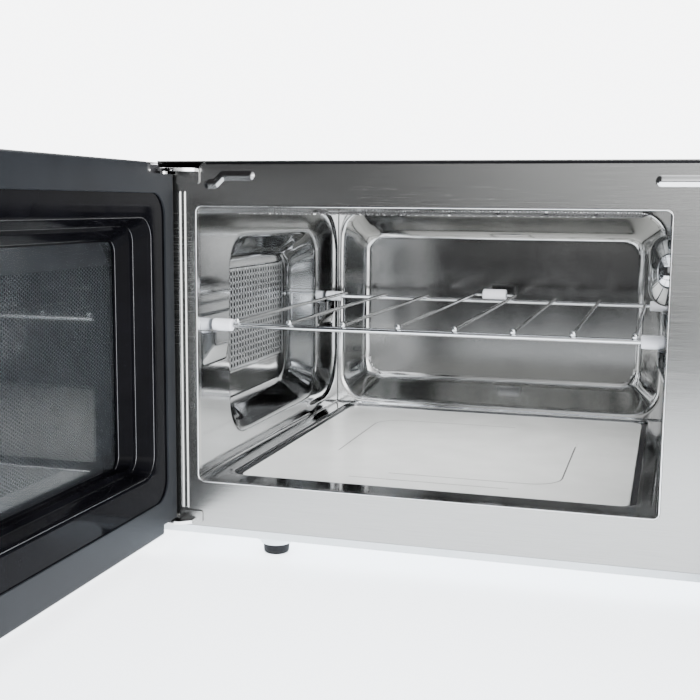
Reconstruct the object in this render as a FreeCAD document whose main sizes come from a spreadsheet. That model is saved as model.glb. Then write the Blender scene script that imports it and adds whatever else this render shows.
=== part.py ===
"""Countertop combination oven with its door standing open.

Everything is drawn about the mouth of the cavity: x runs to the right, y runs into the oven from the
face of the front plate, and z rises from the cavity floor.  Each finished piece is then moved to the
frame of the whole oven, whose origin lies on the worktop under the middle of the open oven.
"""
import FreeCAD
import Part
import math
import os
import re
import Sketcher

SIZES = {
    # where the frame of the whole oven lies, seen from the mouth
    "originX": 27.5, "originY": 24.6, "originZ": -60.0,
    # cavity
    "mouthHalf": 170.0, "mouthTop": 208.3, "backY": 359.0, "skin": 0.9, "rim": 5.0,
    # front plate
    "plateLeft": -200.0, "plateRight": 314.5, "plateFoot": -36.0, "plateTop": 241.0, "plateSkin": 1.0,
    # drawn recess for the hot-air grid in the left wall
    "airFront": 63.0, "airBack": 287.0, "airFoot": 20.0, "airTop": 186.0, "airDepth": 21.0,
    "airFloorFront": 100.0, "airFloorBack": 249.0, "airFloorFoot": 46.0, "airFloorTop": 159.0,
    "gridFront": 106.0, "gridBack": 246.0, "gridFoot": 67.0, "gridTop": 155.0,
    "gridPitchY": 6.2, "gridPitchZ": 5.7, "gridHole": 1.5,
    # drawn recess of the back wall
    "backDepth": 22.0, "backInset": 4.0, "backHalf": 138.5, "backFoot": 32.2, "backTop": 174.8,
    # ledges that carry the rack
    "ledgeTop": 112.4, "ledgeFoot": 88.0, "ledgeReach": 6.0, "ledgeFrontY": 34.0, "ledgeBackY": 318.0,
    "ledgeHalf": 24.0,
    # oval lamp cover on the right wall
    "domeY": 130.0, "domeZ": 162.0, "domeHalfY": 36.0, "domeHalfZ": 28.0, "domeReach": 17.0,
    # ceramic plate, its seal and the well under it
    "ceramicHalf": 150.0, "ceramicFront": 31.0, "ceramicBack": 351.0, "ceramicTop": -2.0,
    "ceramicThick": 5.0, "sealWide": 6.0, "wellHalf": 130.0, "wellFront": 52.0, "wellBack": 330.0,
    "wellFoot": -22.0,
    # wire rack
    "rackZ": 117.5, "rackFrontY": 28.5, "rackBackY": 319.0, "rackHalf": 160.0, "railR": 2.0,
    "wireR": 1.5, "wirePitch": 42.54, "wireZ": 120.8, "sleeveR": 4.8, "sleeveStart": 153.0,
    "sleeveLong": 16.3, "tailY": 351.0, "tailSleeveR": 6.0,
    # grill in the ceiling
    "grillHalf": 150.0, "grillFront": 25.0, "grillBack": 335.0, "grillFoot": 203.2, "notchPitch": 34.1,
    "heatHalf": 125.0, "heatFront": 70.0, "heatBack": 300.0, "heatTop": 232.0, "elementR": 3.3,
    # outer casing
    "caseLeft": -202.0, "caseRight": 316.0, "caseTop": 242.0, "caseFoot": -41.0, "caseFront": 1.3,
    "caseBack": 430.0, "caseSkin": 0.8, "baseFoot": -42.0, "footR": 11.0, "footX": -117.0,
    "footFrontY": 28.0, "footBackY": 398.0, "footRightX": 250.0,
    # hot-air fan behind the back wall
    "fanX": -45.0, "fanZ": 105.0, "fanY": 397.0, "fanR": 54.0, "fanShaftR": 3.0, "chamberBack": 414.0,
    "coverBack": 462.5,
    # cooling blower
    "blowX": 266.0, "blowZ": 150.0, "blowR": 44.0, "blowWheelR": 36.0,
    # door, standing open: thickness runs along x, width along y
    "pinX": -192.5, "pinY": -8.0, "pinR": 3.0, "bore": 3.05,
    "doorIn": -186.5, "doorOut": -221.5, "doorHingeY": -3.5, "doorFreeY": -412.0,
    "doorFoot": -37.4, "doorTop": 239.9, "panelFoot": -46.0, "panelTop": 244.0, "wall": 1.5,
    "ringHingeY": -19.0, "ringFreeY": -382.0, "ringFoot": -11.5, "ringTop": 217.8,
    "stepHingeY": -38.6, "stepFreeY": -362.4, "stepFoot": 12.5, "stepTop": 199.5,
    "neckHingeY": -43.6, "neckFreeY": -357.4, "neckFoot": 15.0, "neckTop": 194.3, "neckX": -201.0,
    "viewHingeY": -51.8, "viewFreeY": -349.2, "viewFoot": 18.4, "viewTop": 184.0, "viewX": -211.5,
    "shell": 1.2, "latchY": -403.5, "latchLowZ": 18.0, "latchHighZ": 186.0, "latchReach": 14.0,
    "gripY": -385.0, "gripX": -254.5, "gripR": 6.5, "gripFoot": 30.0, "gripTop": 170.0,
    # control panel
    "fasciaLeft": 214.0, "fasciaFront": -37.0, "fasciaWall": 2.4, "fasciaBack": -0.5,
    "knobX": 265.0, "knobZ": 52.0, "knobR": 23.0, "knobFront": -60.0, "shaftR": 3.0,
    "keyWide": 30.0, "keyTall": 13.0, "keyGap": 0.4, "keyLeftX": 244.0, "keyRightX": 286.0,
    "keyFootZ": 100.0, "keyPitch": 24.0,
}

doc = FreeCAD.newDocument("CombiOven")
sheet = doc.addObject("Spreadsheet::Sheet", "Sizes")
for row, (alias, number) in enumerate(SIZES.items(), start=1):
    sheet.set(f"A{row}", alias)
    sheet.set(f"B{row}", str(number))
    sheet.setAlias(f"B{row}", alias)
doc.recompute()

NODES = []
PLACES = {}
AXES = {"x": FreeCAD.Vector(1, 0, 0), "y": FreeCAD.Vector(0, 1, 0), "z": FreeCAD.Vector(0, 0, 1)}


# ---------------------------------------------------------------- helpers
def cell(text):
    """The expression with every size written as a cell of the sheet."""
    return re.sub(r"[A-Za-z]\w*", lambda m: "Sizes." + m[0] if m[0] in SIZES else m[0], str(text))


def value(text):
    """What an expression comes to, as a plain number."""
    found = sheet.evalExpression(cell(text))
    return float(getattr(found, "Value", found))


def bind(obj, **properties):
    for name, text in properties.items():
        obj.setExpression(name, cell(text))
    return obj


def at(obj, x, y, z):
    """Place a primitive by expressions in the mouth's frame."""
    PLACES[obj.Name] = (x, y, z)
    for letter, text in zip("xyz", (x, y, z)):
        obj.setExpression(f"Placement.Base.{letter}", cell(text))
    return obj


def box(x, y, z):
    """A box between two expressions on each axis."""
    obj = doc.addObject("Part::Box", "Block")
    bind(obj, Length=f"({x[1]}) - ({x[0]})", Width=f"({y[1]}) - ({y[0]})", Height=f"({z[1]}) - ({z[0]})")
    return at(obj, x[0], y[0], z[0])


def turned(obj, axis):
    """Turn a primitive that is drawn along z to run along another axis."""
    obj.Placement = FreeCAD.Placement(FreeCAD.Vector(), FreeCAD.Rotation(AXES["z"], AXES[axis]))
    return obj


def rod(x, y, z, radius, length, axis="z"):
    obj = turned(doc.addObject("Part::Cylinder", "Rod"), axis)
    bind(obj, Radius=radius, Height=length)
    return at(obj, x, y, z)


def cone(x, y, z, radius, end_radius, length, axis="z"):
    obj = turned(doc.addObject("Part::Cone", "Taper"), axis)
    bind(obj, Radius1=radius, Radius2=end_radius, Height=length)
    return at(obj, x, y, z)


def ball(x, y, z, radius):
    obj = doc.addObject("Part::Sphere", "Ball")
    bind(obj, Radius=radius)
    return at(obj, x, y, z)


def ring(x, y, z, radius, tube, axis="z"):
    obj = turned(doc.addObject("Part::Torus", "Ring"), axis)
    bind(obj, Radius1=radius, Radius2=tube)
    return at(obj, x, y, z)


def fuse(*parts):
    if len(parts) == 1:
        return parts[0]
    obj = doc.addObject("Part::MultiFuse", "Union")
    obj.Shapes = list(parts)
    obj.Refine = True
    return obj


def cut(base, *tools):
    obj = doc.addObject("Part::Cut", "Cut")
    obj.Base = base
    obj.Tool = fuse(*tools)
    return obj


def group(*parts):
    """Separate solids that share one node."""
    obj = doc.addObject("Part::Compound", "Group")
    obj.Links = list(parts)
    return obj


def node(name, obj):
    """Name a finished piece and move it to the frame of the whole oven."""
    obj.Label = name
    shift = ("-originX", "-originY", "-originZ")
    for letter, start, move in zip("xyz", PLACES.get(obj.Name, ("0", "0", "0")), shift):
        obj.setExpression(f"Placement.Base.{letter}", cell(f"({start}) + ({move})"))
    NODES.append(obj)
    return obj


def new_body(name):
    body = doc.addObject("PartDesign::Body", "Body")
    body.Label = name
    return body


def outline(body, plane, offset, across, up, radius=0):
    """A sketch of one rectangle, with rounded corners if a radius is given.

    The sketch lies on one of the body's own planes, moved along that plane's normal by the offset.
    """
    sketch = body.newObject("Sketcher::SketchObject", "Outline")
    origin = [f for f in body.Origin.OriginFeatures if f.Role == plane][0]
    sketch.AttachmentSupport = (origin, [""])
    sketch.MapMode = "FlatFace"
    sketch.setExpression("AttachmentOffset.Base.z", cell(offset))
    draw_rectangle(sketch, across, up, radius)
    return sketch


def draw_rectangle(sketch, across, up, radius=0):
    left, right = value(across[0]), value(across[1])
    foot, top = value(up[0]), value(up[1])
    r = value(radius)
    first = sketch.GeometryCount
    corners = [(left, foot), (right, foot), (right, top), (left, top)]
    along = [(1, 0), (0, 1), (-1, 0), (0, -1)]
    for i, (px, py) in enumerate(corners):
        qx, qy = corners[(i + 1) % 4]
        dx, dy = along[i]
        start = FreeCAD.Vector(px + r * dx, py + r * dy, 0)
        end = FreeCAD.Vector(qx - r * dx, qy - r * dy, 0)
        sketch.addGeometry(Part.LineSegment(start, end), False)
    for i in (0, 2):
        sketch.addConstraint(Sketcher.Constraint("Horizontal", first + i))
        sketch.addConstraint(Sketcher.Constraint("Vertical", first + i + 1))
    if r:
        round_corners(sketch, first, corners, r, radius)
    else:
        for i in range(4):
            sketch.addConstraint(Sketcher.Constraint("Coincident", first + i, 2, first + (i + 1) % 4, 1))
    sides = [("DistanceY", 0, up[0]), ("DistanceX", 1, across[1]), ("DistanceY", 2, up[1]),
             ("DistanceX", 3, across[0])]
    for kind, side, text in sides:
        limit = Sketcher.Constraint(kind, -1, 1, first + side, 1, value(text))
        index = sketch.addConstraint(limit)
        sketch.setExpression(f"Constraints[{index}]", cell(text))


def round_corners(sketch, first, corners, r, radius):
    """Join the four sides with equal tangent arcs."""
    inward = [(1, 1), (-1, 1), (-1, -1), (1, -1)]
    arcs = []
    for i in range(4):
        corner = (i + 1) % 4
        middle = FreeCAD.Vector(
            corners[corner][0] + r * inward[corner][0], corners[corner][1] + r * inward[corner][1], 0
        )
        circle = Part.Circle(middle, AXES["z"], r)
        start = math.radians(-90 + 90 * i)
        arcs.append(sketch.addGeometry(Part.ArcOfCircle(circle, start, start + math.pi / 2), False))
    for i in range(4):
        sketch.addConstraint(Sketcher.Constraint("Tangent", first + i, 2, arcs[i], 1))
        sketch.addConstraint(Sketcher.Constraint("Tangent", arcs[i], 2, first + (i + 1) % 4, 1))
    for i in range(1, 4):
        sketch.addConstraint(Sketcher.Constraint("Equal", arcs[0], arcs[i]))
    index = sketch.addConstraint(Sketcher.Constraint("Radius", arcs[0], r))
    sketch.setExpression(f"Constraints[{index}]", cell(radius))


def pad(body, sketch, length, backwards=False):
    feature = body.newObject("PartDesign::Pad", "Pad")
    feature.Profile = sketch
    feature.setExpression("Length", cell(length))
    feature.Reversed = backwards
    return feature


def pocket(body, sketch, length, backwards=False):
    """Cut from the sketch against its normal, or along it if backwards."""
    feature = body.newObject("PartDesign::Pocket", "Pocket")
    feature.Profile = sketch
    feature.setExpression("Length", cell(length))
    feature.Reversed = backwards
    return feature


def loft(body, kind, near, far):
    feature = body.newObject(f"PartDesign::{kind}Loft", kind)
    feature.Profile = near
    feature.Sections = [far]
    feature.Ruled = True
    return feature


def grown(span, by):
    """A span made wider by a margin at both ends."""
    return (f"{span[0]} - ({by})", f"{span[1]} + ({by})")


# ---------------------------------------------------------------- front plate
def front_plate():
    body = new_body("front_plate")
    across, up = ("plateLeft", "plateRight"), ("plateFoot", "plateTop")
    pad(body, outline(body, "XZ_Plane", 0, across, up), "plateSkin", True)
    mouth = ("-mouthHalf", "mouthHalf"), ("0", "mouthTop")
    rim_mouth = grown(mouth[0], "plateSkin"), grown(mouth[1], "plateSkin")
    pad(body, outline(body, "XZ_Plane", 0, *rim_mouth, 5), "rim", True)
    pocket(body, outline(body, "XZ_Plane", 1, *mouth, 4), "rim + 2")
    press_marks(body)
    hook_x = "pinX + pinY - latchY"
    slots = (f"{hook_x} - 4", f"{hook_x} + 4")
    for low in ("latchLowZ - 9", "latchHighZ - 9"):
        pocket(body, outline(body, "XZ_Plane", 1, slots, (low, f"{low} + 21")), 3)
    node("front_plate", body)


def press_marks(body):
    """Raised beads: one down the left stile, a short one by each upper corner of the mouth."""
    bead = 0.5
    pad(body, outline(body, "XZ_Plane", 0, (-185.5, -180.5), (-24, 221), 2.4), bead)
    pad(body, outline(body, "XZ_Plane", 0, (158.5, 205), (223.9, 231.6), 3.8), bead)
    pad(body, outline(body, "XZ_Plane", 0, (-151, -123.4), (227.5, 234.5), 3.4), bead)
    pad(body, outline(body, "XZ_Plane", 0, (-163.5, -149), (221.2, 228.4), 3.4), bead)


# ---------------------------------------------------------------- cavity
def side_panel(name, left):
    """One side wall of the cavity with the two ledges that carry the rack."""
    body = new_body(name)
    face = "-mouthHalf" if left else "mouthHalf"
    pad(body, outline(body, "YZ_Plane", face, ("rim", "backY"), ("0", "mouthTop")), "skin", left)
    inward = "+" if left else "-"
    for middle in ("ledgeFrontY", "ledgeBackY"):
        wide = (f"{middle} - ledgeHalf", f"{middle} + ledgeHalf")
        narrow = (f"{middle} - ledgeHalf / 2", f"{middle} + ledgeHalf / 2")
        root = outline(body, "YZ_Plane", face, wide, ("ledgeFoot", "ledgeTop"))
        tip = outline(body, "YZ_Plane", f"{face} {inward} ledgeReach", narrow, ("ledgeTop - 3", "ledgeTop"))
        loft(body, "Additive", root, tip)
    return body


def cavity_left_wall():
    body = side_panel("cavity_left_wall", True)
    face, floor = "-mouthHalf", "-mouthHalf - airDepth"
    lip = ("airFront", "airBack"), ("airFoot", "airTop")
    flat = ("airFloorFront", "airFloorBack"), ("airFloorFoot", "airFloorTop")
    outer = outline(body, "YZ_Plane", face, grown(lip[0], "skin"), grown(lip[1], "skin"), 31)
    outer_end = outline(
        body, "YZ_Plane", f"{floor} - skin", grown(flat[0], "skin"), grown(flat[1], "skin"), 17)
    loft(body, "Additive", outer, outer_end)
    loft(body, "Subtractive", outline(body, "YZ_Plane", face, *lip, 30),
         outline(body, "YZ_Plane", floor, *flat, 16))
    hole = outline(body, "YZ_Plane", f"{floor} + 1", ("gridFront + 2", "gridBack - 2"),
                   ("gridFoot + 2", "gridTop - 2"), 3)
    pocket(body, hole, 4)
    node("cavity_left_wall", body)


def hot_air_grid():
    """The perforated plate behind the recess: one plate and a grid of round holes."""
    foot, top, front, back = (value(n) for n in ("gridFoot", "gridTop", "gridFront", "gridBack"))
    face, skin = value("-mouthHalf - airDepth - skin"), value("skin")
    pitch_y, pitch_z, radius = value("gridPitchY"), value("gridPitchZ"), value("gridHole")
    plate = Part.makeBox(skin, back - front, top - foot, FreeCAD.Vector(face - skin, front, foot))
    columns, rows = int((back - front - 6) // pitch_y) + 1, int((top - foot - 6) // pitch_z) + 1
    start_y = (front + back - (columns - 1) * pitch_y) / 2
    start_z = (foot + top - (rows - 1) * pitch_z) / 2
    holes = [
        Part.makeCylinder(radius, 3 * skin, FreeCAD.Vector(face - 2 * skin, start_y + i * pitch_y,
                                                          start_z + j * pitch_z), AXES["x"])
        for i in range(columns) for j in range(rows)
    ]
    grid = doc.addObject("Part::Feature", "Grid")
    grid.Shape = plate.cut(Part.makeCompound(holes))
    node("hot_air_grid", grid)


def cavity_right_wall():
    body = side_panel("cavity_right_wall", False)
    hole = ("domeY - domeHalfY + 6", "domeY + domeHalfY - 6"), ("domeZ - domeHalfZ + 6", "domeZ + domeHalfZ - 6")
    pocket(body, outline(body, "YZ_Plane", "mouthHalf + 2", *hole, 20), 4)
    node("cavity_right_wall", body)
    lamp_dome()


def lamp_dome():
    """Hollow oval cover over the cavity lamp, drawn in two steps towards the cavity."""
    body = new_body("lamp_dome")
    size = ("domeY - domeHalfY", "domeY + domeHalfY"), ("domeZ - domeHalfZ", "domeZ + domeHalfZ")
    base = "mouthHalf - 0.1"
    steps = [(base, 0, 27.5), (f"{base} - 0.6 * domeReach", 4, 23.5), (f"{base} - domeReach", 14, 13.5)]
    for kind, thin in (("Additive", "0"), ("Subtractive", "skin")):
        for stage in zip(steps, steps[1:]):
            near, far = (
                outline(body, "YZ_Plane", f"{x} + {thin}", *grown_pair(size, f"-{inset} - {thin}"), f"{r} - {thin}")
                for x, inset, r in stage
            )
            loft(body, kind, near, far)
    node("lamp_dome", body)
    socket = box(("mouthHalf + 4", "mouthHalf + 30"), ("domeY - 12", "domeY + 12"),
                 ("domeZ - 12", "domeZ + 12"))
    bulb = rod("mouthHalf - 6", "domeY", "domeZ", 9, 14, "x")
    node("cavity_lamp", fuse(socket, bulb))


def cavity_back_wall():
    body = new_body("cavity_back_wall")
    wide, tall = ("-mouthHalf - skin", "mouthHalf + skin"), ("0", "mouthTop")
    pad(body, outline(body, "XZ_Plane", "-backY", wide, tall), "skin", True)
    lip = ("-mouthHalf + backInset", "mouthHalf - backInset"), ("2", "mouthTop - 3")
    flat = ("-backHalf", "backHalf"), ("backFoot", "backTop")
    outer = outline(body, "XZ_Plane", "-backY", *lip, 27)
    outer_end = outline(body, "XZ_Plane", "-backY - backDepth - skin", *flat, 16)
    loft(body, "Additive", outer, outer_end)
    inner = outline(body, "XZ_Plane", "-backY", grown(lip[0], "-skin"), grown(lip[1], "-skin"), 26)
    inner_end = outline(body, "XZ_Plane", "-backY - backDepth", grown(flat[0], "-skin"),
                        grown(flat[1], "-skin"), 15)
    loft(body, "Subtractive", inner, inner_end)
    node("cavity_back_wall", body)


def cavity_floor_pan():
    """Floor border, the ledge under the ceramic plate and the well of the stirrer."""
    body = new_body("cavity_floor_pan")
    tray = ("-ceramicHalf - sealWide - 1", "ceramicHalf + sealWide + 1"), (
        "ceramicFront - sealWide - 1", "ceramicBack + sealWide + 1")
    well = ("-wellHalf", "wellHalf"), ("wellFront", "wellBack")
    ledge = "ceramicTop - ceramicThick - 1"
    wide, deep = ("-mouthHalf - skin", "mouthHalf + skin"), ("rim", "backY + skin")
    pad(body, outline(body, "XY_Plane", 0, wide, deep), "skin", True)
    pad(body, outline(body, "XY_Plane", "-skin", *tray, 15), f"-({ledge})", True)
    pad(body, outline(body, "XY_Plane", ledge, grown(well[0], "skin"), grown(well[1], "skin"), 21),
        f"({ledge}) - wellFoot + skin", True)
    inside = grown(tray[0], "-skin"), grown(tray[1], "-skin")
    pocket(body, outline(body, "XY_Plane", 1, *inside, 14), f"1 - ({ledge})")
    pocket(body, outline(body, "XY_Plane", f"{ledge} + 1", *well, 20), f"({ledge}) + 1 - wellFoot")
    pocket(body, outline(body, "XY_Plane", "wellFoot + 1", ("-6", "6"), (185, 197), 5), 4)
    node("cavity_floor_pan", body)


def ceramic_floor():
    plate = new_body("ceramic_plate")
    size = ("-ceramicHalf", "ceramicHalf"), ("ceramicFront", "ceramicBack")
    pad(plate, outline(plate, "XY_Plane", "ceramicTop", *size, 11), "ceramicThick", True)
    node("ceramic_plate", plate)
    seal = new_body("plate_seal")
    around = grown(size[0], "sealWide"), grown(size[1], "sealWide")
    pad(seal, outline(seal, "XY_Plane", "ceramicTop - 0.6", *around, 14.5), "ceramicThick - 0.6", True)
    middle = outline(seal, "XY_Plane", 1, *size, 11)
    pocket(seal, middle, 20)
    node("plate_seal", seal)


def cavity_ceiling():
    body = new_body("cavity_ceiling")
    wide, deep = ("-mouthHalf - skin", "mouthHalf + skin"), ("rim", "backY + skin")
    pad(body, outline(body, "XY_Plane", "mouthTop", wide, deep), "skin")
    heat = ("-heatHalf", "heatHalf"), ("heatFront", "heatBack")
    pocket(body, outline(body, "XY_Plane", "mouthTop + 3", *heat, 10), 6)
    node("cavity_ceiling", body)
    hood = new_body("grill_hood")
    outer = grown(heat[0], "3"), grown(heat[1], "3")
    pad(hood, outline(hood, "XY_Plane", "mouthTop + skin", *outer, 12), "heatTop - mouthTop - skin")
    pocket(hood, outline(hood, "XY_Plane", "heatTop - skin", *grown_pair(outer, "-skin"), 11), 60)
    node("grill_hood", hood)


def grown_pair(pair, by):
    return grown(pair[0], by), grown(pair[1], by)


def grill():
    """Sheathed heating element and the slotted guard under it."""
    height = "mouthTop + 11"
    count = 6
    parts = []
    for i in range(count):
        x = f"-heatHalf + 20 + (2 * heatHalf - 40) * {i} / {count - 1}"
        parts.append(rod(x, "heatFront + 20", height, "elementR", "heatBack - heatFront - 40", "y"))
        end = "heatBack - 20" if i % 2 == 0 else "heatFront + 20"
        if i < count - 1:
            parts.append(rod(x, end, height, "elementR", f"(2 * heatHalf - 40) / {count - 1}", "x"))
            parts.append(ball(x, end, height, "elementR"))
            parts.append(ball(f"{x} + (2 * heatHalf - 40) / {count - 1}", end, height, "elementR"))
    node("grill_element", fuse(*parts))
    wide, deep = ("-grillHalf", "grillHalf"), ("grillFront", "grillBack")
    tray = box(wide, deep, ("grillFoot", "mouthTop"))
    hollow = box(grown(wide, "-skin"), grown(deep, "-skin"), ("grillFoot + skin", "mouthTop + 1"))
    slots = []
    for i in range(8):
        x = f"({i} - 3.5) * notchPitch"
        for j in range(6):
            y = f"grillFront + 22 + {j} * 46"
            slots.append(box((f"{x} - 11", f"{x} + 11"), (y, f"{y} + 34"),
                             ("grillFoot - 1", "grillFoot + 2")))
        slots.append(box((f"{x} - 2", f"{x} + 2"), ("grillFront - 1", "grillFront + 2"),
                         ("grillFoot + 2", "mouthTop + 1")))
    node("grill_guard", cut(tray, hollow, *slots))


# ---------------------------------------------------------------- rack
def wire_rack():
    parts = []
    for y in ("rackFrontY", "rackBackY"):
        parts.append(rod("-rackHalf", y, "rackZ", "railR", "2 * rackHalf", "x"))
    for i in range(8):
        x = f"({i} - 3.5) * wirePitch"
        back = "tailY" if i in (3, 4) else "rackBackY"
        parts.append(rod(x, "rackFrontY", "wireZ", "wireR", f"{back} - rackFrontY", "y"))
        parts.append(ball(x, "rackFrontY", "wireZ - 0.3", "railR + 0.3"))
    parts.append(rod("-wirePitch / 2", "tailY", "wireZ", "wireR", "wirePitch", "x"))
    for side in ("-", ""):
        parts.append(ball(f"{side}wirePitch / 2", "tailY", "wireZ", "wireR"))
    node("wire_rack", fuse(*parts))
    sleeves = []
    for x in ("-sleeveStart - sleeveLong", "sleeveStart"):
        for y in ("rackFrontY", "rackBackY"):
            hub = rod(x, y, "rackZ", "sleeveR", "sleeveLong", "x")
            sleeves.append(cut(hub, rod("-rackHalf", y, "rackZ", "railR", "2 * rackHalf", "x")))
    tail = rod(-12, "tailY", "wireZ", "tailSleeveR", 24, "x")
    sleeves.append(cut(tail, rod(-13, "tailY", "wireZ", "wireR", 26, "x")))
    node("rack_sleeves", group(*sleeves))


# ---------------------------------------------------------------- hot air, stirrer, power
def hot_air_module():
    chamber = box(("fanX - 95", "fanX + 95"), ("backY + backDepth + skin", "chamberBack"), (20, 190))
    inside = box(("fanX - 96", "fanX + 94"), ("backY + backDepth + skin - 1", "chamberBack - 1"), (21, 189))
    bore = rod("fanX", "chamberBack - 2", "fanZ", "fanShaftR + 1", 4, "y")
    node("hot_air_chamber", cut(chamber, inside, bore))
    hub = rod("fanX", "fanY - 8", "fanZ", 9, 17, "y")
    disc = rod("fanX", "fanY + 7", "fanZ", "fanR", 1.2, "y")
    blades = []
    for i in range(10):
        blade = box((0, "fanR - 10"), (0, 15), (0, 1))
        turn = FreeCAD.Rotation(AXES["y"], 36 * i)
        blade.Placement = FreeCAD.Placement(FreeCAD.Vector(), turn)
        at(blade, f"fanX + 8 * cos({36 * i})", "fanY - 7.5", f"fanZ - 8 * sin({36 * i})")
        blades.append(blade)
    shaft = rod("fanX", "fanY", "fanZ", "fanShaftR", "chamberBack + 12 - fanY", "y")
    node("hot_air_fan", fuse(hub, disc, shaft, *blades))
    can = rod("fanX", "chamberBack + 0.5", "fanZ", 29, 36, "y")
    socket = rod("fanX", "chamberBack", "fanZ", "fanShaftR + 0.05", 14, "y")
    node("hot_air_motor", cut(can, socket))
    node("ring_heater", ring("fanX", "fanY - 2", "fanZ", 66, 3.2, "y"))
    duct_module()


def duct_module():
    """Flat duct that joins the fan chamber to the grid in the left wall."""
    left = "caseLeft + 1.5"
    runs = [
        (("mouthHalf * -1 - airDepth - 2 * skin - 0.2", 104, 300), 56, 164),
        (("-mouthHalf - skin - 0.6", 296, 412), 56, 164),
        (("fanX - 95.4", 383.4, 412), 56, 164),
    ]
    outer = [box((left, right), (front, back), (low, high)) for (right, front, back), low, high in runs]
    inner = [
        box((f"{left} + 0.8", f"{right} + {1 if i != 1 else -0.8}"), (front + 0.8, back - 0.8),
            (low + 0.8, high - 0.8))
        for i, ((right, front, back), low, high) in enumerate(runs)
    ]
    node("hot_air_duct", cut(fuse(*outer), *inner))


def stirrer_module():
    hub = rod(0, 191, "wellFoot + 1.5", 8, 6, "z")
    arms = [
        box((-70, 70), (180, 202), ("wellFoot + 4", "wellFoot + 5.2")),
        box((-11, 11), (121, 261), ("wellFoot + 4", "wellFoot + 5.2")),
    ]
    shaft = rod(0, 191, "wellFoot - 9", 2, 12)
    node("stirrer", fuse(hub, shaft, *arms))
    motor = rod(0, 191, "wellFoot - skin - 13.6", 24, 13.4)
    node("stirrer_motor", cut(motor, rod(0, 191, "wellFoot - 10", 2.05, 12)))


def microwave_module():
    outer = box(("mouthHalf + skin + 0.3", 214), (110, 210), (-24, 116))
    inner = box(("mouthHalf + skin + 1.3", 213), (111, 209), (-23, 115))
    neck = box(("wellHalf + 1", "mouthHalf + skin + 0.2"), (140, 180), (-20.5, -9.5))
    neck_in = box(("wellHalf", "mouthHalf + skin + 2"), (141, 179), (-19.5, -10.5))
    port = rod(212, 160, 84, 12, 4, "x")
    node("waveguide", group(cut(outer, inner, neck_in, port), cut(neck, neck_in)))
    core = rod(219, 160, 84, 20, 66, "x")
    fins = [box((f"{226} + {i} * 7", f"{227.2} + {i} * 7"), (126, 194), (58, 110)) for i in range(8)]
    yoke = cut(box((217, 290), (122, 198), (54, 114)), box((218.4, 288.6), (100, 220), (56, 112)))
    antenna = rod(203, 160, 84, 8, 18, "x")
    node("magnetron", fuse(core, yoke, antenna, *fins))
    board = box((222, 308), (236, 376), (-30, -28.4))
    coil = box((236, 282), (250, 300), (-28.4, 14))
    sink = [box((f"{232} + {i} * 8", f"{234} + {i} * 8"), (312, 366), (-28.4, 8)) for i in range(8)]
    node("inverter_board", fuse(board, coil, *sink))


def blower_module():
    shell = rod("blowX", 376, "blowZ", "blowR", 46, "y")
    duct = box(("blowX - 40", "blowX"), (376, 422), ("blowZ - 70", "blowZ"))
    inside = rod("blowX", 377.2, "blowZ", "blowR - 1.2", 46, "y")
    duct_in = box(("blowX - 38.8", "blowX - 1.2"), (377.2, 423), ("blowZ - 71", "blowZ - 6"))
    eye = rod("blowX", 370, "blowZ", 14, 10, "y")
    node("blower_housing", cut(fuse(shell, duct), inside, duct_in, eye))
    disc = rod("blowX", 382, "blowZ", "blowWheelR", 1.5, "y")
    hub = rod("blowX", 382, "blowZ", 6, 20, "y")
    vanes = [rod(f"blowX + (blowWheelR - 3) * cos({20 * i})", 382,
                 f"blowZ + (blowWheelR - 3) * sin({20 * i})", 1.2, 34, "y") for i in range(18)]
    hoop = cut(rod("blowX", 415, "blowZ", "blowWheelR", 1.5, "y"), rod("blowX", 414, "blowZ", 29, 4, "y"))
    shaft = rod("blowX", 362, "blowZ", 2.5, 24, "y")
    node("blower_wheel", fuse(disc, hub, shaft, hoop, *vanes))
    can = rod("blowX", 338, "blowZ", 22, 37, "y")
    node("blower_motor", cut(can, rod("blowX", 361, "blowZ", 2.55, 20, "y")))


# ---------------------------------------------------------------- casing
def outer_casing():
    """Wrapper of two sides and a top, with rows of cooling slots."""
    length = ("caseFront", "caseBack")
    outer = box(("caseLeft", "caseRight"), length, ("caseFoot", "caseTop"))
    inner = box(grown(("caseLeft", "caseRight"), "-caseSkin"), ("caseFront - 1", "caseBack + 1"),
                ("caseFoot - 1", "caseTop - caseSkin"))
    slots = []
    for i in range(14):
        y = f"230 + {i} * 12"
        slots.append(box(("caseRight - 3", "caseRight + 3"), (y, f"{y} + 5"), (130, 190)))
        slots.append(box((228, 292), (y, f"{y} + 5"), ("caseTop - 3", "caseTop + 3")))
    for i in range(8):
        y = f"318 + {i} * 12"
        slots.append(box(("caseLeft - 3", "caseLeft + 3"), (y, f"{y} + 5"), (182, 214)))
    node("outer_casing", cut(outer, inner, *slots))


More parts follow.
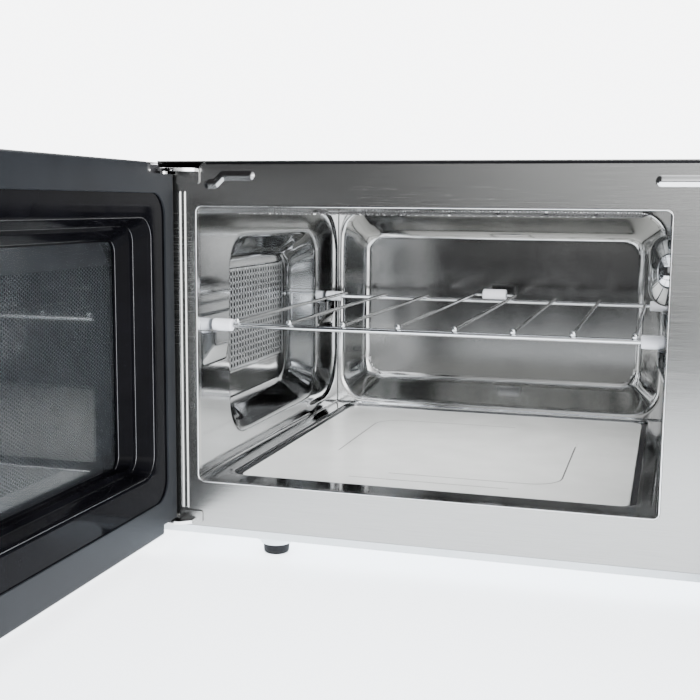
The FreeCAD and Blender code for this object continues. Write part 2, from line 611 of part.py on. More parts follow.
def rear_panel():
    wide, tall = grown(("caseLeft", "caseRight"), "-caseSkin - 0.1"), ("caseFoot", "caseTop - caseSkin - 0.1")
    plate = box(wide, ("caseBack - 0.9", "caseBack"), tall)
    slots = []
    for i in range(12):
        x = f"{i} * 6 + 232"
        slots.append(box((x, f"{x} + 3"), ("caseBack - 3", "caseBack + 3"), (116, 184)))
    mouth = rod("fanX", "caseBack - 3", "fanZ", 36, 6, "y")
    gland = rod(284, "caseBack - 3", 4, 8.2, 6, "y")
    holes = [rod(x, "caseBack - 3", z, 1.75, 6, "y") for x, z in screw_places()]
    node("rear_panel", cut(plate, mouth, gland, *slots, *holes))
    hood = cone("fanX", "caseBack", "fanZ", 46, 41, "coverBack - caseBack", "y")
    flange = rod("fanX", "caseBack", "fanZ", 54, 1, "y")
    hollow = cone("fanX", "caseBack - 1", "fanZ", 44.8, 39.8, "coverBack - caseBack", "y")
    louvres = [box(("fanX - 24", "fanX + 24"), ("coverBack - 4", "coverBack + 4"),
                   (f"fanZ - 24 + {i} * 8", f"fanZ - 20.5 + {i} * 8")) for i in range(7)]
    node("motor_cover", cut(fuse(hood, flange), hollow, *louvres))
    neck = rod(284, "caseBack - 6", 4, 8, 10, "y")
    collar = rod(284, "caseBack", 4, 11, 4, "y")
    node("cord_gland", cut(fuse(neck, collar), rod(284, "caseBack - 8", 4, 3.6, 20, "y")))


def foot_places():
    return [(x, y) for x in ("footX", "footRightX") for y in ("footFrontY", "footBackY")]


def base_pan():
    wide, deep = grown(("caseLeft", "caseRight"), "-caseSkin - 0.1"), ("0", "caseBack - 1")
    plate = box(wide, deep, ("baseFoot", "baseFoot + 1"))
    lip = box(wide, ("0", "1"), ("baseFoot", "plateFoot - 0.2"))
    slots = [box((f"{i} * 9 + 226", f"{i} * 9 + 230"), (140, 200), (-44, -40)) for i in range(8)]
    bosses = [cone(x, y, "baseFoot - 8", 13, 19, "8.5") for x, y in foot_places()]
    holes = [rod(x, y, "baseFoot - 9", 2.6, 12) for x, y in foot_places()]
    node("base_pan", cut(fuse(plate, lip, *bosses), *slots, *holes))
    feet = []
    for x, y in foot_places():
        pad_ = cone(x, y, "originZ", "footR - 1", "footR", "baseFoot - 8 - originZ")
        stud = rod(x, y, "baseFoot - 8.5", 2.5, 9)
        feet.append(fuse(pad_, stud))
    node("rubber_feet", group(*feet))


def screw_places():
    return [(x, z) for x in ("caseLeft + 14", "caseRight - 14") for z in (-24, 100, 226)]


def casing_screws():
    screws = []
    for x, z in screw_places():
        head = rod(x, "caseBack", z, 3.6, 2, "y")
        screws.append(fuse(head, rod(x, "caseBack - 6", z, 1.7, 7, "y")))
    node("casing_screws", group(*screws))


# ---------------------------------------------------------------- hinges and locks
def hinge(name, arm_foot, pin_from, pin_to, plate_span):
    """Bracket on the left stile: a plate on the front plate, an arm and an upright pin."""
    arm = box(("pinX - 6.5", "pinX + 16.5"), ("pinY - 5", "-0.2"), (arm_foot, f"{arm_foot} + 2.5"))
    plate = box(("pinX + 6.5", "pinX + 25.5"), (-1.4, -0.2), plate_span)
    pin = rod("pinX", "pinY", pin_from, "pinR", f"({pin_to}) - ({pin_from})")
    node(name, fuse(arm, plate, pin))


def hinges():
    hinge("upper_hinge", "234", "220", "236.9", ("225", "236.5"))
    hinge("lower_hinge", "-33.4", "-33.8", "-19", ("-33.4", "-24"))
    blocks = []
    for low, high in (("218.5", "231.5"), ("-29", "-17.5")):
        block = box(("doorIn - 13.5", "doorIn - wall - 0.02"), ("pinY - 8", "doorHingeY - wall - 0.02"),
                    (low, high))
        blocks.append(cut(block, rod("pinX", "pinY", f"{low} - 1", "bore", f"{high} - {low} + 2")))
    node("pivot_blocks", group(*blocks))


def interlock():
    bracket = box((194, 196), ("plateSkin + 0.2", 22), (0, 208))
    shelf = [box((196, 213), ("plateSkin + 0.2", 22), (z, f"{z} + 1.5")) for z in (-1, 206)]
    node("interlock_bracket", fuse(bracket, *shelf))
    switches = [box((197, 211), (17, 30), (z, z + 26)) for z in (8, 92, 176)]
    node("interlock_switches", group(*switches))


# ---------------------------------------------------------------- door
def door_frame():
    """Tray-shaped frame: its face round the window, four edge walls, notches for the hinges."""
    body = new_body("door_frame")
    size = ("doorFreeY", "doorHingeY"), ("doorFoot", "doorTop")
    pad(body, outline(body, "YZ_Plane", "doorIn", *size, 3), "doorIn - doorOut - 1.3", True)
    hollow = outline(body, "YZ_Plane", "doorIn - wall", *grown_pair(size, "-wall"), 2)
    pocket(body, hollow, 60)
    window = ("ringFreeY", "ringHingeY"), ("ringFoot", "ringTop")
    pocket(body, outline(body, "YZ_Plane", "doorIn + 1", *window, 17), 4)
    upper = outline(body, "YZ_Plane", "doorIn + 1", ("doorHingeY - 42", "doorHingeY + 1"),
                    ("doorTop - 8", "doorTop + 1"))
    pocket(body, upper, 60)
    lower = outline(body, "YZ_Plane", "doorIn + 1", ("doorHingeY - 24", "doorHingeY + 1"),
                    ("doorFoot - 1", "doorFoot + 8"))
    pocket(body, lower, 60)
    for low in ("latchLowZ - 7", "latchHighZ - 7"):
        slot = outline(body, "YZ_Plane", "doorIn + 1", ("latchY - 3", "latchY + 3"), (low, f"{low} + 17"))
        pocket(body, slot, 4)
    node("door_frame", body)


def door_choke_ring():
    """Drawn ring that steps from the frame down to the window."""
    body = new_body("door_choke_ring")
    face = "doorIn - wall - 0.1"
    flange = ("ringFreeY - 6", "ringHingeY + 6"), ("ringFoot - 6", "ringTop + 6")
    step = ("stepFreeY", "stepHingeY"), ("stepFoot", "stepTop")
    neck = ("neckFreeY", "neckHingeY"), ("neckFoot", "neckTop")
    view = ("viewFreeY", "viewHingeY"), ("viewFoot", "viewTop")
    pad(body, outline(body, "YZ_Plane", face, *flange, 20), "shell", True)
    stages = [(face, step, 14), ("neckX", neck, 12), ("viewX", view, 9)]
    for kind, extra, more in (("Additive", "shell", 1.2), ("Subtractive", "0", 0)):
        for (x, size, r), (next_x, next_size, next_r) in zip(stages, stages[1:]):
            near = outline(body, "YZ_Plane", x, *grown_pair(size, extra), r + more)
            far = outline(body, "YZ_Plane", next_x, *grown_pair(next_size, extra), next_r + more)
            loft(body, kind, near, far)
    node("door_choke_ring", body)


def door_window():
    pane = ("viewFreeY - 4.5", "viewHingeY + 4.5"), ("viewFoot - 4.5", "viewTop + 4.5")
    node("door_inner_glass", box(("viewX - 1.7", "viewX - 0.1"), *pane))
    node("door_screen", box(("viewX - 2.5", "viewX - 1.8"), *grown_pair(pane, "2")))
    glass = new_body("door_outer_glass")
    pad(glass, outline(glass, "YZ_Plane", "doorOut + 0.2", *grown_pair(pane, "0.7"), 5.5), "2.8")
    node("door_outer_glass", glass)


def door_front_panel():
    body = new_body("door_front_panel")
    size = ("doorFreeY - 1.3", "doorHingeY"), ("panelFoot", "panelTop")
    pad(body, outline(body, "YZ_Plane", "doorOut", *size, 4), "13")
    inside = ("doorFreeY - 0.1", "doorHingeY + 5"), ("panelFoot + shell", "panelTop - shell")
    pocket(body, outline(body, "YZ_Plane", "doorOut + shell", *inside, 3), "40", True)
    pane = ("viewFreeY - 5.5", "viewHingeY + 5.5"), ("viewFoot - 5.5", "viewTop + 5.5")
    pocket(body, outline(body, "YZ_Plane", "doorOut + 2", *pane, 5.8), "4")
    node("door_front_panel", body)


def door_handle():
    bar = rod("gripX", "gripY", "gripFoot", "gripR", "gripTop - gripFoot")
    ends = [ball("gripX", "gripY", z, "gripR") for z in ("gripFoot", "gripTop")]
    posts = [rod("gripX", "gripY", z, 5, "doorOut - gripX", "x") for z in ("gripFoot + 14", "gripTop - 14")]
    node("door_handle", fuse(bar, *ends, *posts))


def door_latch():
    """Upright slide behind the frame's face with two hooks that reach through it."""
    slide = box(("doorIn - wall - 2.6", "doorIn - wall - 0.4"), ("latchY - 5", "latchY + 5"),
                ("latchLowZ - 12", "latchHighZ + 16"))
    hooks = []
    for z in ("latchLowZ", "latchHighZ"):
        hooks.append(box(("doorIn - wall - 1", "doorIn + latchReach"), ("latchY - 1.5", "latchY + 1.5"),
                         (f"{z} - 2", f"{z} + 5")))
        hooks.append(box(("doorIn + latchReach - 4", "doorIn + latchReach"),
                         ("latchY - 1.5", "latchY + 1.5"), (f"{z} - 5", f"{z} + 5")))
    node("door_latch", fuse(slide, *hooks))


# ---------------------------------------------------------------- control panel
def key_places():
    return [(x, f"keyFootZ + {row} * keyPitch") for row in range(3) for x in ("keyLeftX", "keyRightX")]


def control_fascia():
    body = new_body("control_fascia")
    size = ("fasciaLeft", "caseRight"), ("baseFoot", "caseTop")
    depth = "fasciaBack - fasciaFront"
    pad(body, outline(body, "XZ_Plane", "-fasciaBack", *size, 4), depth)
    inside = grown_pair(size, "-fasciaWall")
    pocket(body, outline(body, "XZ_Plane", "-fasciaBack", *inside, 3), f"{depth} - fasciaWall", True)
    front = "-fasciaFront + 1"
    pocket(body, outline(body, "XZ_Plane", front, (226, 304), (184, 218), 2), 8)
    for x, z in key_places():
        hole = (f"{x} - keyWide / 2 - keyGap", f"{x} + keyWide / 2 + keyGap"), (
            f"{z} - keyTall / 2 - keyGap", f"{z} + keyTall / 2 + keyGap")
        pocket(body, outline(body, "XZ_Plane", front, *hole, 2.4), 8)
    hub = ("knobX - 5", "knobX + 5"), ("knobZ - 5", "knobZ + 5")
    pocket(body, outline(body, "XZ_Plane", front, *hub, 4.9), 8)
    node("control_fascia", body)


def display():
    body = new_body("display_window")
    pad(body, outline(body, "XZ_Plane", "-fasciaFront", (226.2, 303.8), (184.2, 217.8), 1.8), "2.4", True)
    node("display_window", body)


def keys():
    for number, (x, z) in enumerate(key_places(), start=1):
        body = new_body(f"key_{number}")
        cap = (f"{x} - keyWide / 2", f"{x} + keyWide / 2"), (f"{z} - keyTall / 2", f"{z} + keyTall / 2")
        pad(body, outline(body, "XZ_Plane", "-fasciaFront + 1.8", *cap, 2), "7.5", True)
        rear = grown_pair(cap, "1.6")
        pad(body, outline(body, "XZ_Plane", "-fasciaFront - fasciaWall - 0.3", *rear, 2), "2", True)
        node(f"key_{number}", body)


def knob():
    grip = cone("knobX", "knobFront", "knobZ", "knobR - 1.5", "knobR", "fasciaFront - 0.6 - knobFront", "y")
    shaft = rod("knobX", "fasciaFront - 2", "knobZ", "shaftR", 16, "y")
    mark = box(("knobX - 1", "knobX + 1"), ("knobFront - 1", "knobFront + 0.8"),
               ("knobZ + 8", "knobZ + knobR"))
    node("knob", fuse(cut(grip, mark), shaft))
    case = box(("knobX - 9", "knobX + 9"), (-31, -8.6), ("knobZ - 9", "knobZ + 9"))
    bore = rod("knobX", -32, "knobZ", "shaftR + 0.05", 10, "y")
    node("knob_encoder", cut(case, bore))


def control_board():
    board = box((220, 310), (-8.4, -6.8), (10, 230))
    switches = [rod(x, -27.5, z, 3, 19.5, "y") for x, z in key_places()]
    screen = box((228, 302), (-33.8, -8), (188, 214))
    node("control_board", fuse(board, screen, *switches))


# ---------------------------------------------------------------- build, check, write
def check():
    for obj in doc.Objects:
        if "Invalid" in obj.State or "Error" in obj.State:
            raise RuntimeError(f"{obj.Label} did not build: {obj.State}")
    for obj in NODES:
        if obj.Shape.isNull() or not obj.Shape.isValid() or not obj.Shape.Solids:
            raise RuntimeError(f"{obj.Label} is not a valid solid")


def main():
    front_plate()
    cavity_left_wall()
    hot_air_grid()
    cavity_right_wall()
    cavity_back_wall()
    cavity_floor_pan()
    ceramic_floor()
    cavity_ceiling()
    grill()
    wire_rack()
    hot_air_module()
    stirrer_module()
    microwave_module()
    blower_module()
    outer_casing()
    rear_panel()
    base_pan()
    casing_screws()
    hinges()
    interlock()
    door_frame()
    door_choke_ring()
    door_window()
    door_front_panel()
    door_handle()
    door_latch()
    control_fascia()
    display()
    keys()
    knob()
    control_board()
    doc.recompute()
    check()
    os.makedirs("parts", exist_ok=True)
    whole = FreeCAD.BoundBox()
    for obj in NODES:
        obj.Shape.exportStep(f"parts/{obj.Label}.step")
        whole.add(obj.Shape.BoundBox)
        print(obj.Label, len(obj.Shape.Solids), round(obj.Shape.Volume / 1000, 2), "cm3")
    print(len(NODES), "nodes", whole)


main()
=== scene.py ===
"""Looks for the countertop combination oven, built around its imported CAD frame.

Lengths in the building code are millimetres seen from the mouth of the cavity: x to the right, y into the
oven from the face of the front plate, z up from the cavity floor.  here() turns them into the row's metres.
"""
import bpy
import math
from mathutils import Matrix, Vector


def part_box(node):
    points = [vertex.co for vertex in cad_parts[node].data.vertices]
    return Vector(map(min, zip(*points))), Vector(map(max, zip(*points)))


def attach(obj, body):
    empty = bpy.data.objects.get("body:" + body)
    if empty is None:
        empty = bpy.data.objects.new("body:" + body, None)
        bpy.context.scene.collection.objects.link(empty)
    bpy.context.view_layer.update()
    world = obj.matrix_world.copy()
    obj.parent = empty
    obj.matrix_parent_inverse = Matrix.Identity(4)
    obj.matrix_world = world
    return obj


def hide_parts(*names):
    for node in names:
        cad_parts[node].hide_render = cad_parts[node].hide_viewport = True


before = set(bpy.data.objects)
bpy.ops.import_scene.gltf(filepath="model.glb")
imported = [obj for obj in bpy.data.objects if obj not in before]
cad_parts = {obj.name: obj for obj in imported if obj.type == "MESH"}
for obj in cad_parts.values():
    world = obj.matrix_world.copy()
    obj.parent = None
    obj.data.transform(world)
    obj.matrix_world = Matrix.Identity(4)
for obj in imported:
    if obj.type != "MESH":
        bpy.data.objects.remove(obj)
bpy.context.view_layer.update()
MM = 0.001
plate_low, plate_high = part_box("ceramic_plate")
MOUTH = Vector(((plate_low.x + plate_high.x) / 2, plate_low.y - 31 * MM, plate_high.z + 2 * MM))


def here(x, y, z):
    """A point of the mouth's frame, in the row's metres."""
    return MOUTH + Vector((x, y, z)) * MM


def cad(node):
    """The lowest and highest corner of a CAD node, in millimetres of the mouth's frame."""
    low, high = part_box(node)
    return (low - MOUTH) / MM, (high - MOUTH) / MM


# ---------------------------------------------------------------- materials
def new_material(name, **settings):
    material = bpy.data.materials.new(name)
    material.use_nodes = True
    shader = material.node_tree.nodes["Principled BSDF"]
    for key, value in settings.items():
        shader.inputs[key.replace("_", " ")].default_value = value
    return material, material.node_tree.nodes, material.node_tree.links, shader


def texture(nodes, links, kind, stretch, **settings):
    """A procedural texture on object coordinates, stretched along the axes."""
    place = nodes.new("ShaderNodeTexCoord")
    scale = nodes.new("ShaderNodeMapping")
    scale.inputs["Scale"].default_value = stretch
    node = nodes.new(kind)
    for key, value in settings.items():
        node.inputs[key.replace("_", " ")].default_value = value
    links.new(place.outputs["Object"], scale.inputs["Vector"])
    links.new(scale.outputs["Vector"], node.inputs["Vector"])
    return node


def spread(nodes, links, source, low, high, start=0.3, stop=0.7):
    """Map a texture's middle range on to a range of numbers."""
    node = nodes.new("ShaderNodeMapRange")
    node.inputs["From Min"].default_value = start
    node.inputs["From Max"].default_value = stop
    node.inputs["To Min"].default_value = low
    node.inputs["To Max"].default_value = high
    links.new(source, node.inputs["Value"])
    return node.outputs["Result"]


def tint(nodes, links, source, dark, light):
    node = nodes.new("ShaderNodeValToRGB")
    node.color_ramp.elements[0].position = 0.3
    node.color_ramp.elements[0].color = (*dark, 1)
    node.color_ramp.elements[1].position = 0.7
    node.color_ramp.elements[1].color = (*light, 1)
    links.new(source, node.inputs["Fac"])
    return node.outputs["Color"]


def bump(nodes, links, shader, source, depth, strength=1.0):
    node = nodes.new("ShaderNodeBump")
    node.inputs["Strength"].default_value = strength
    node.inputs["Distance"].default_value = depth
    links.new(source, node.inputs["Height"])
    links.new(node.outputs["Normal"], shader.inputs["Normal"])
    return node


def brushed(name, dark, light, rough, along="x", fine=3500):
    """Sheet metal brushed along one axis: fine streaks in colour, roughness and relief."""
    material, nodes, links, shader = new_material(name, Metallic=1.0)
    stretch = [fine, fine, fine]
    stretch["xyz".index(along)] = 25
    streaks = texture(nodes, links, "ShaderNodeTexNoise", stretch, Scale=1.0, Detail=3.0, Roughness=0.6)
    broad = texture(nodes, links, "ShaderNodeTexNoise", (3, 3, 9), Scale=1.0, Detail=2.0)
    links.new(tint(nodes, links, streaks.outputs["Fac"], dark, light), shader.inputs["Base Color"])
    mix = nodes.new("ShaderNodeMath")
    mix.operation = "ADD"
    links.new(spread(nodes, links, streaks.outputs["Fac"], rough - 0.03, rough + 0.04), mix.inputs[0])
    links.new(spread(nodes, links, broad.outputs["Fac"], -0.02, 0.03), mix.inputs[1])
    links.new(mix.outputs["Value"], shader.inputs["Roughness"])
    bump(nodes, links, shader, streaks.outputs["Fac"], 0.00001, 0.25)
    return material


def polished(name, dark, light, rough, ripple=0.0003):
    """Drawn and polished sheet: faint large ripples, cloudy roughness and hairline scratches."""
    material, nodes, links, shader = new_material(name, Metallic=1.0)
    cloud = texture(nodes, links, "ShaderNodeTexNoise", (14, 14, 14), Scale=1.0, Detail=3.0)
    wave = texture(nodes, links, "ShaderNodeTexNoise", (22, 22, 9), Scale=1.0, Detail=1.0)
    hair = texture(nodes, links, "ShaderNodeTexNoise", (900, 30, 900), Scale=1.0, Detail=3.0)
    links.new(tint(nodes, links, cloud.outputs["Fac"], dark, light), shader.inputs["Base Color"])
    mix = nodes.new("ShaderNodeMath")
    mix.operation = "ADD"
    links.new(spread(nodes, links, cloud.outputs["Fac"], rough - 0.03, rough + 0.03), mix.inputs[0])
    links.new(spread(nodes, links, hair.outputs["Fac"], -0.02, 0.03), mix.inputs[1])
    links.new(mix.outputs["Value"], shader.inputs["Roughness"])
    bump(nodes, links, shader, wave.outputs["Fac"], ripple, 0.35)
    return material


def moulded(name, dark, light, rough, grain=1800, depth=0.00003, **settings):
    """Moulded plastic, rubber or enamel with a fine skin."""
    material, nodes, links, shader = new_material(name, **settings)
    cloud = texture(nodes, links, "ShaderNodeTexNoise", (30, 30, 30), Scale=1.0, Detail=3.0)
    skin = texture(nodes, links, "ShaderNodeTexNoise", (grain, grain, grain), Scale=1.0, Detail=2.0)
    links.new(tint(nodes, links, cloud.outputs["Fac"], dark, light), shader.inputs["Base Color"])
    links.new(spread(nodes, links, cloud.outputs["Fac"], rough - 0.03, rough + 0.04),
              shader.inputs["Roughness"])
    bump(nodes, links, shader, skin.outputs["Fac"], depth, 0.4)
    return material


def clear_glass(name, colour, rough=0.02, ior=1.5):
    material, nodes, links, shader = new_material(
        name, Transmission_Weight=1.0, IOR=ior, Base_Color=(*colour, 1))
    smear = texture(nodes, links, "ShaderNodeTexNoise", (40, 40, 25), Scale=1.0, Detail=3.0)
    links.new(spread(nodes, links, smear.outputs["Fac"], rough, rough + 0.03), shader.inputs["Roughness"])
    return material


M = {
    "front": brushed("brushed_front_plate", (0.31, 0.31, 0.302), (0.37, 0.37, 0.36), 0.23),
    "casing": brushed("brushed_casing", (0.20, 0.20, 0.197), (0.27, 0.27, 0.265), 0.32, along="y"),
    "cavity": polished("polished_cavity", (0.56, 0.57, 0.58), (0.64, 0.65, 0.66), 0.08, ripple=0.00015),
    # The back wall is a darker copy of the cavity steel, and its flat a darker copy still: painted shade. The
    # flat is also a little rougher, a satin finish.
    "back": polished("shaded_back_wall_steel", (0.33, 0.33, 0.325), (0.40, 0.40, 0.39), 0.10, ripple=0.0001),
    "back_flat": polished("satin_shaded_back_flat", (0.12, 0.12, 0.117), (0.16, 0.16, 0.156), 0.15, ripple=0.0001),
    "zinc": polished("zinc_sheet", (0.22, 0.23, 0.24), (0.31, 0.32, 0.33), 0.38),
    # Near-black sheet for the hot-air duct and chamber, the grill hood and the plate's top seam: painted
    # shade in these hollows and gaps.
    "dark_zinc": polished("painted_shade_black_sheet", (0.012, 0.012, 0.013), (0.022, 0.022, 0.024), 0.5),
    "ceramic": moulded("glazed_ceramic", (0.84, 0.85, 0.83), (0.89, 0.90, 0.88), 0.22, grain=500,
                       depth=0.00001, Specular_IOR_Level=0.45),
    "print": moulded("printed_line", (0.12, 0.12, 0.12), (0.18, 0.18, 0.18), 0.4),
    "silicone": moulded("black_silicone", (0.010, 0.010, 0.011), (0.018, 0.018, 0.020), 0.35),
    "chrome": polished("plated_wire", (0.60, 0.61, 0.62), (0.72, 0.73, 0.74), 0.10, ripple=0.0001),
    "sleeve": moulded("pale_sleeve", (0.80, 0.81, 0.86), (0.89, 0.90, 0.94), 0.35),
    "slate": moulded("slate_satin", (0.008, 0.009, 0.011), (0.012, 0.0135, 0.016), 0.40,
                     Specular_IOR_Level=0.08),
    "gloss": moulded("black_enamel", (0.0015, 0.0015, 0.002), (0.003, 0.003, 0.004), 0.08, grain=300,
                     depth=0.00001, Specular_IOR_Level=0.02),
    # Thin bright lines for the door's black ring: painted highlight where its rounded edges catch the light.
    "ring_edge": polished("painted_highlight_ring_edge", (0.08, 0.08, 0.085), (0.14, 0.14, 0.145), 0.18, ripple=0.0001),
    "screen": moulded("screen_enamel", (0.022, 0.023, 0.025), (0.030, 0.031, 0.034), 0.12,
                      Specular_IOR_Level=0.3),
    "glass": clear_glass("clear_pane", (0.93, 0.95, 0.95), ior=1.15),
    "smoked": clear_glass("smoked_pane", (0.012, 0.013, 0.014), ior=1.2),
    "rubber": moulded("foot_rubber", (0.008, 0.008, 0.009), (0.014, 0.014, 0.015), 0.6, depth=0.0001,
                      Specular_IOR_Level=0.1),
    "plastic": moulded("black_moulding", (0.018, 0.018, 0.020), (0.030, 0.030, 0.033), 0.45),
    "pale": moulded("pale_powder_coat", (0.66, 0.71, 0.74), (0.74, 0.79, 0.82), 0.4, grain=900),
    "motor": moulded("motor_paint", (0.16, 0.17, 0.18), (0.24, 0.25, 0.26), 0.45),
    "board": moulded("board_lacquer", (0.015, 0.10, 0.05), (0.03, 0.16, 0.08), 0.35),
    "sheath": moulded("heat_dark_sheath", (0.06, 0.055, 0.05), (0.12, 0.10, 0.09), 0.45, Metallic=0.8),
    "knob": brushed("turned_knob", (0.55, 0.55, 0.55), (0.70, 0.70, 0.70), 0.25, along="y"),
    "polish": polished("bright_polished_sheet", (0.66, 0.66, 0.66), (0.80, 0.80, 0.80), 0.12),
    "grid": brushed("pale_grid_sheet", (0.76, 0.78, 0.80), (0.88, 0.90, 0.92), 0.24, along="z", fine=900),
    "guard": polished("pressed_guard", (0.30, 0.30, 0.30), (0.42, 0.42, 0.42), 0.2),
    "door_panel": brushed("brushed_door_panel", (0.21, 0.213, 0.216), (0.29, 0.293, 0.296), 0.28, along="y"),
    "handle": brushed("brushed_handle", (0.60, 0.60, 0.60), (0.74, 0.74, 0.74), 0.2, along="z"),
    "display": moulded("display_acrylic", (0.003, 0.003, 0.004), (0.006, 0.006, 0.008), 0.06, grain=200,
                       depth=0.000005, Coat_Weight=0.5),
    "key": moulded("key_moulding", (0.020, 0.021, 0.024), (0.032, 0.033, 0.037), 0.38),
    "mark": moulded("pale_mark", (0.60, 0.62, 0.64), (0.70, 0.72, 0.74), 0.45),
    "lamp": moulded("lamp_glass", (0.80, 0.80, 0.76), (0.90, 0.90, 0.86), 0.25),
}


# ---------------------------------------------------------------- mesh helpers
ROUNDED = []


def put(name, data):
    """An object in the scene for a mesh, curve, light or camera."""
    obj = bpy.data.objects.new(name, data)
    bpy.context.scene.collection.objects.link(obj)
    return obj


def piece(name, points, faces, material, body="oven", smooth=45.0, replaces=(), slot=None):
    """One visible piece from points in the row's metres, riding on a body."""
    mesh = bpy.data.meshes.new(name)
    mesh.from_pydata([tuple(p) for p in points], [], faces)
    mesh.validate()
    obj = put(name, mesh)
    mesh.materials.append(M[material])
    if smooth:
        mesh.shade_smooth()
        mesh.set_sharp_from_angle(angle=math.radians(smooth))
        ROUNDED.append(obj)
    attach(obj, body)
    if replaces:
        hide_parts(*replaces)
    return obj


def even_normals():
    """Keeps wide flat faces flat in the shading beside their rounded edges."""
    for obj in ROUNDED:
        if not any(step.type == "SOLIDIFY" for step in obj.modifiers):
            weigh = obj.modifiers.new("even_normals", "WEIGHTED_NORMAL")
            weigh.weight = 100
            weigh.keep_sharp = True


def refinish(obj, material, chosen):
    """Another material for the faces whose middle, in millimetres from the mouth, passes a test."""
    obj.data.materials.append(M[material])
    for face in obj.data.polygons:
        if chosen((face.center - here(0, 0, 0)) / MM):
            face.material_index = 1


def thicken(obj, thickness):
    """Give a sheet its thickness, away from its visible side."""
    solid = obj.modifiers.new("sheet", "SOLIDIFY")
    solid.thickness = thickness * MM
    solid.offset = -1
    solid.use_even_offset = True
    return obj


def arc(cu, cv, r, start, stop, steps):
    """Points along an arc between two angles in degrees, both ends included."""
    turns = [math.radians(start + (stop - start) * i / steps) for i in range(steps + 1)]
    return [(cu + r * math.cos(turn), cv + r * math.sin(turn)) for turn in turns]


def rounded(u0, u1, v0, v1, r, steps=8):
    """Points round a rectangle with rounded corners, anticlockwise from the lower left."""
    centres = [(u0 + r, v0 + r, 180), (u1 - r, v0 + r, 270), (u1 - r, v1 - r, 0), (u0 + r, v1 - r, 90)]
    return [p for cu, cv, start in centres for p in arc(cu, cv, r, start, start + 90, steps)]


def frame_point(plane, u, v, w):
    """A point of a sketch plane: w is the third axis."""
    if plane == "xz":
        return here(u, w, v)
    if plane == "yz":
        return here(w, u, v)
    return here(u, v, w)


def skin(rows, count, closed=False, flip=False):
    """Faces of the bands between rings of points, ring after ring."""
    faces = []
    for k in range(rows if closed else rows - 1):
        a, b = k * count, ((k + 1) % rows) * count
        for i in range(count):
            j = (i + 1) % count
            faces.append((a + i, b + i, b + j, a + j) if flip else (a + i, a + j, b + j, b + i))
    return faces


def ends(rows, count):
    """The flat faces over the first and the last ring of a skin."""
    return [tuple(range(count - 1, -1, -1)), tuple(range((rows - 1) * count, rows * count))]


def loops(plane, stages, steps=8, cap_first=False, cap_last=False, closed=False):
    """A skin through nested rounded rectangles: each stage is (w, u0, u1, v0, v1, radius)."""
    points = []
    for w, u0, u1, v0, v1, r in stages:
        points += [frame_point(plane, u, v, w) for u, v in rounded(u0, u1, v0, v1, r, steps)]
    count = 4 * (steps + 1)
    faces = skin(len(stages), count, closed)
    first, last = ends(len(stages), count)
    if cap_first:
        faces.append(first)
    if cap_last:
        faces.append(last)
    return points, faces


def grow(size, by, r=None):
    """(u0, u1, v0, v1, r) made larger all round."""
    u0, u1, v0, v1, radius = size
    return (u0 - by, u1 + by, v0 - by, v1 + by, max(0.3, radius + by) if r is None else r)


def lathe(centre, axis, profile, steps=48):
    """A turned piece: profile is (distance along the axis, radius), in millimetres."""
    frames = {"x": ((0, 1, 0), (0, 0, 1), (1, 0, 0)), "y": ((0, 0, 1), (1, 0, 0), (0, 1, 0)),
              "z": ((1, 0, 0), (0, 1, 0), (0, 0, 1))}
    e1, e2, e3 = (Vector(a) for a in frames[axis])
    points = []
    for along, r in profile:
        for i in range(steps):
            turn = 2 * math.pi * i / steps
            p = Vector(centre) + e3 * along + (e1 * math.cos(turn) + e2 * math.sin(turn)) * r
            points.append(here(*p))
    return points, skin(len(profile), steps) + ends(len(profile), steps)


def tube(path, radius, steps=14):
    """A round wire along a list of points, with mitred rings and closed ends."""
    path = [Vector(p) for p in path]
    points = []
    side = None
    for k, p in enumerate(path):
        ahead = (path[min(k + 1, len(path) - 1)] - path[max(k - 1, 0)]).normalized()
        if side is None:
            side = ahead.orthogonal().normalized()
        side = (side - ahead * side.dot(ahead)).normalized()
        other = ahead.cross(side)
        for i in range(steps):
            turn = 2 * math.pi * i / steps
            points.append(here(*(p + (side * math.cos(turn) + other * math.sin(turn)) * radius)))
    return points, skin(len(path), steps) + ends(len(path), steps)


def join(parts):
    """Several (points, faces) lists as one."""
    points, faces = [], []
    for more_points, more_faces in parts:
        base = len(points)
        points += more_points
        faces += [tuple(base + i for i in face) for face in more_faces]
    return points, faces


def knob_ball(centre, r, steps=14):
    """A small round bead of weld or wire end."""
    rings = [(-r * math.cos(math.pi * k / 8), r * math.sin(math.pi * k / 8)) for k in range(1, 8)]
    return lathe(centre, "y", rings, steps)


def outside(u, v, size):
    """Distance outside a rounded rectangle, negative inside."""
    u0, u1, v0, v1, r = size
    qu = abs(u - (u0 + u1) / 2) - (u1 - u0) / 2 + r
    qv = abs(v - (v0 + v1) / 2) - (v1 - v0) / 2 + r
    return math.hypot(max(qu, 0), max(qv, 0)) + min(max(qu, qv), 0) - r


def field(plane, us, vs, height, skip=None):
    """A sheet whose third coordinate is height(u, v)."""
    points = [frame_point(plane, u, v, height(u, v)) for v in vs for u in us]
    faces = []
    for j in range(len(vs) - 1):
        for i in range(len(us) - 1):
            mid = (us[i] + us[i + 1]) / 2, (vs[j] + vs[j + 1]) / 2
            if skip and skip(*mid):
                continue
            a = j * len(us) + i
            faces.append((a, a + 1, a + 1 + len(us), a + len(us)))
    return points, faces


def span(low, high, step, marks=()):
    """Even stations from low to high that also hit each mark."""
    stops = sorted({low, high, *(m for m in marks if low < m < high)})
    found = []
    for a, b in zip(stops, stops[1:]):
        parts = max(1, round((b - a) / step))
        found += [a + (b - a) * i / parts for i in range(parts)]
    return found + [high]


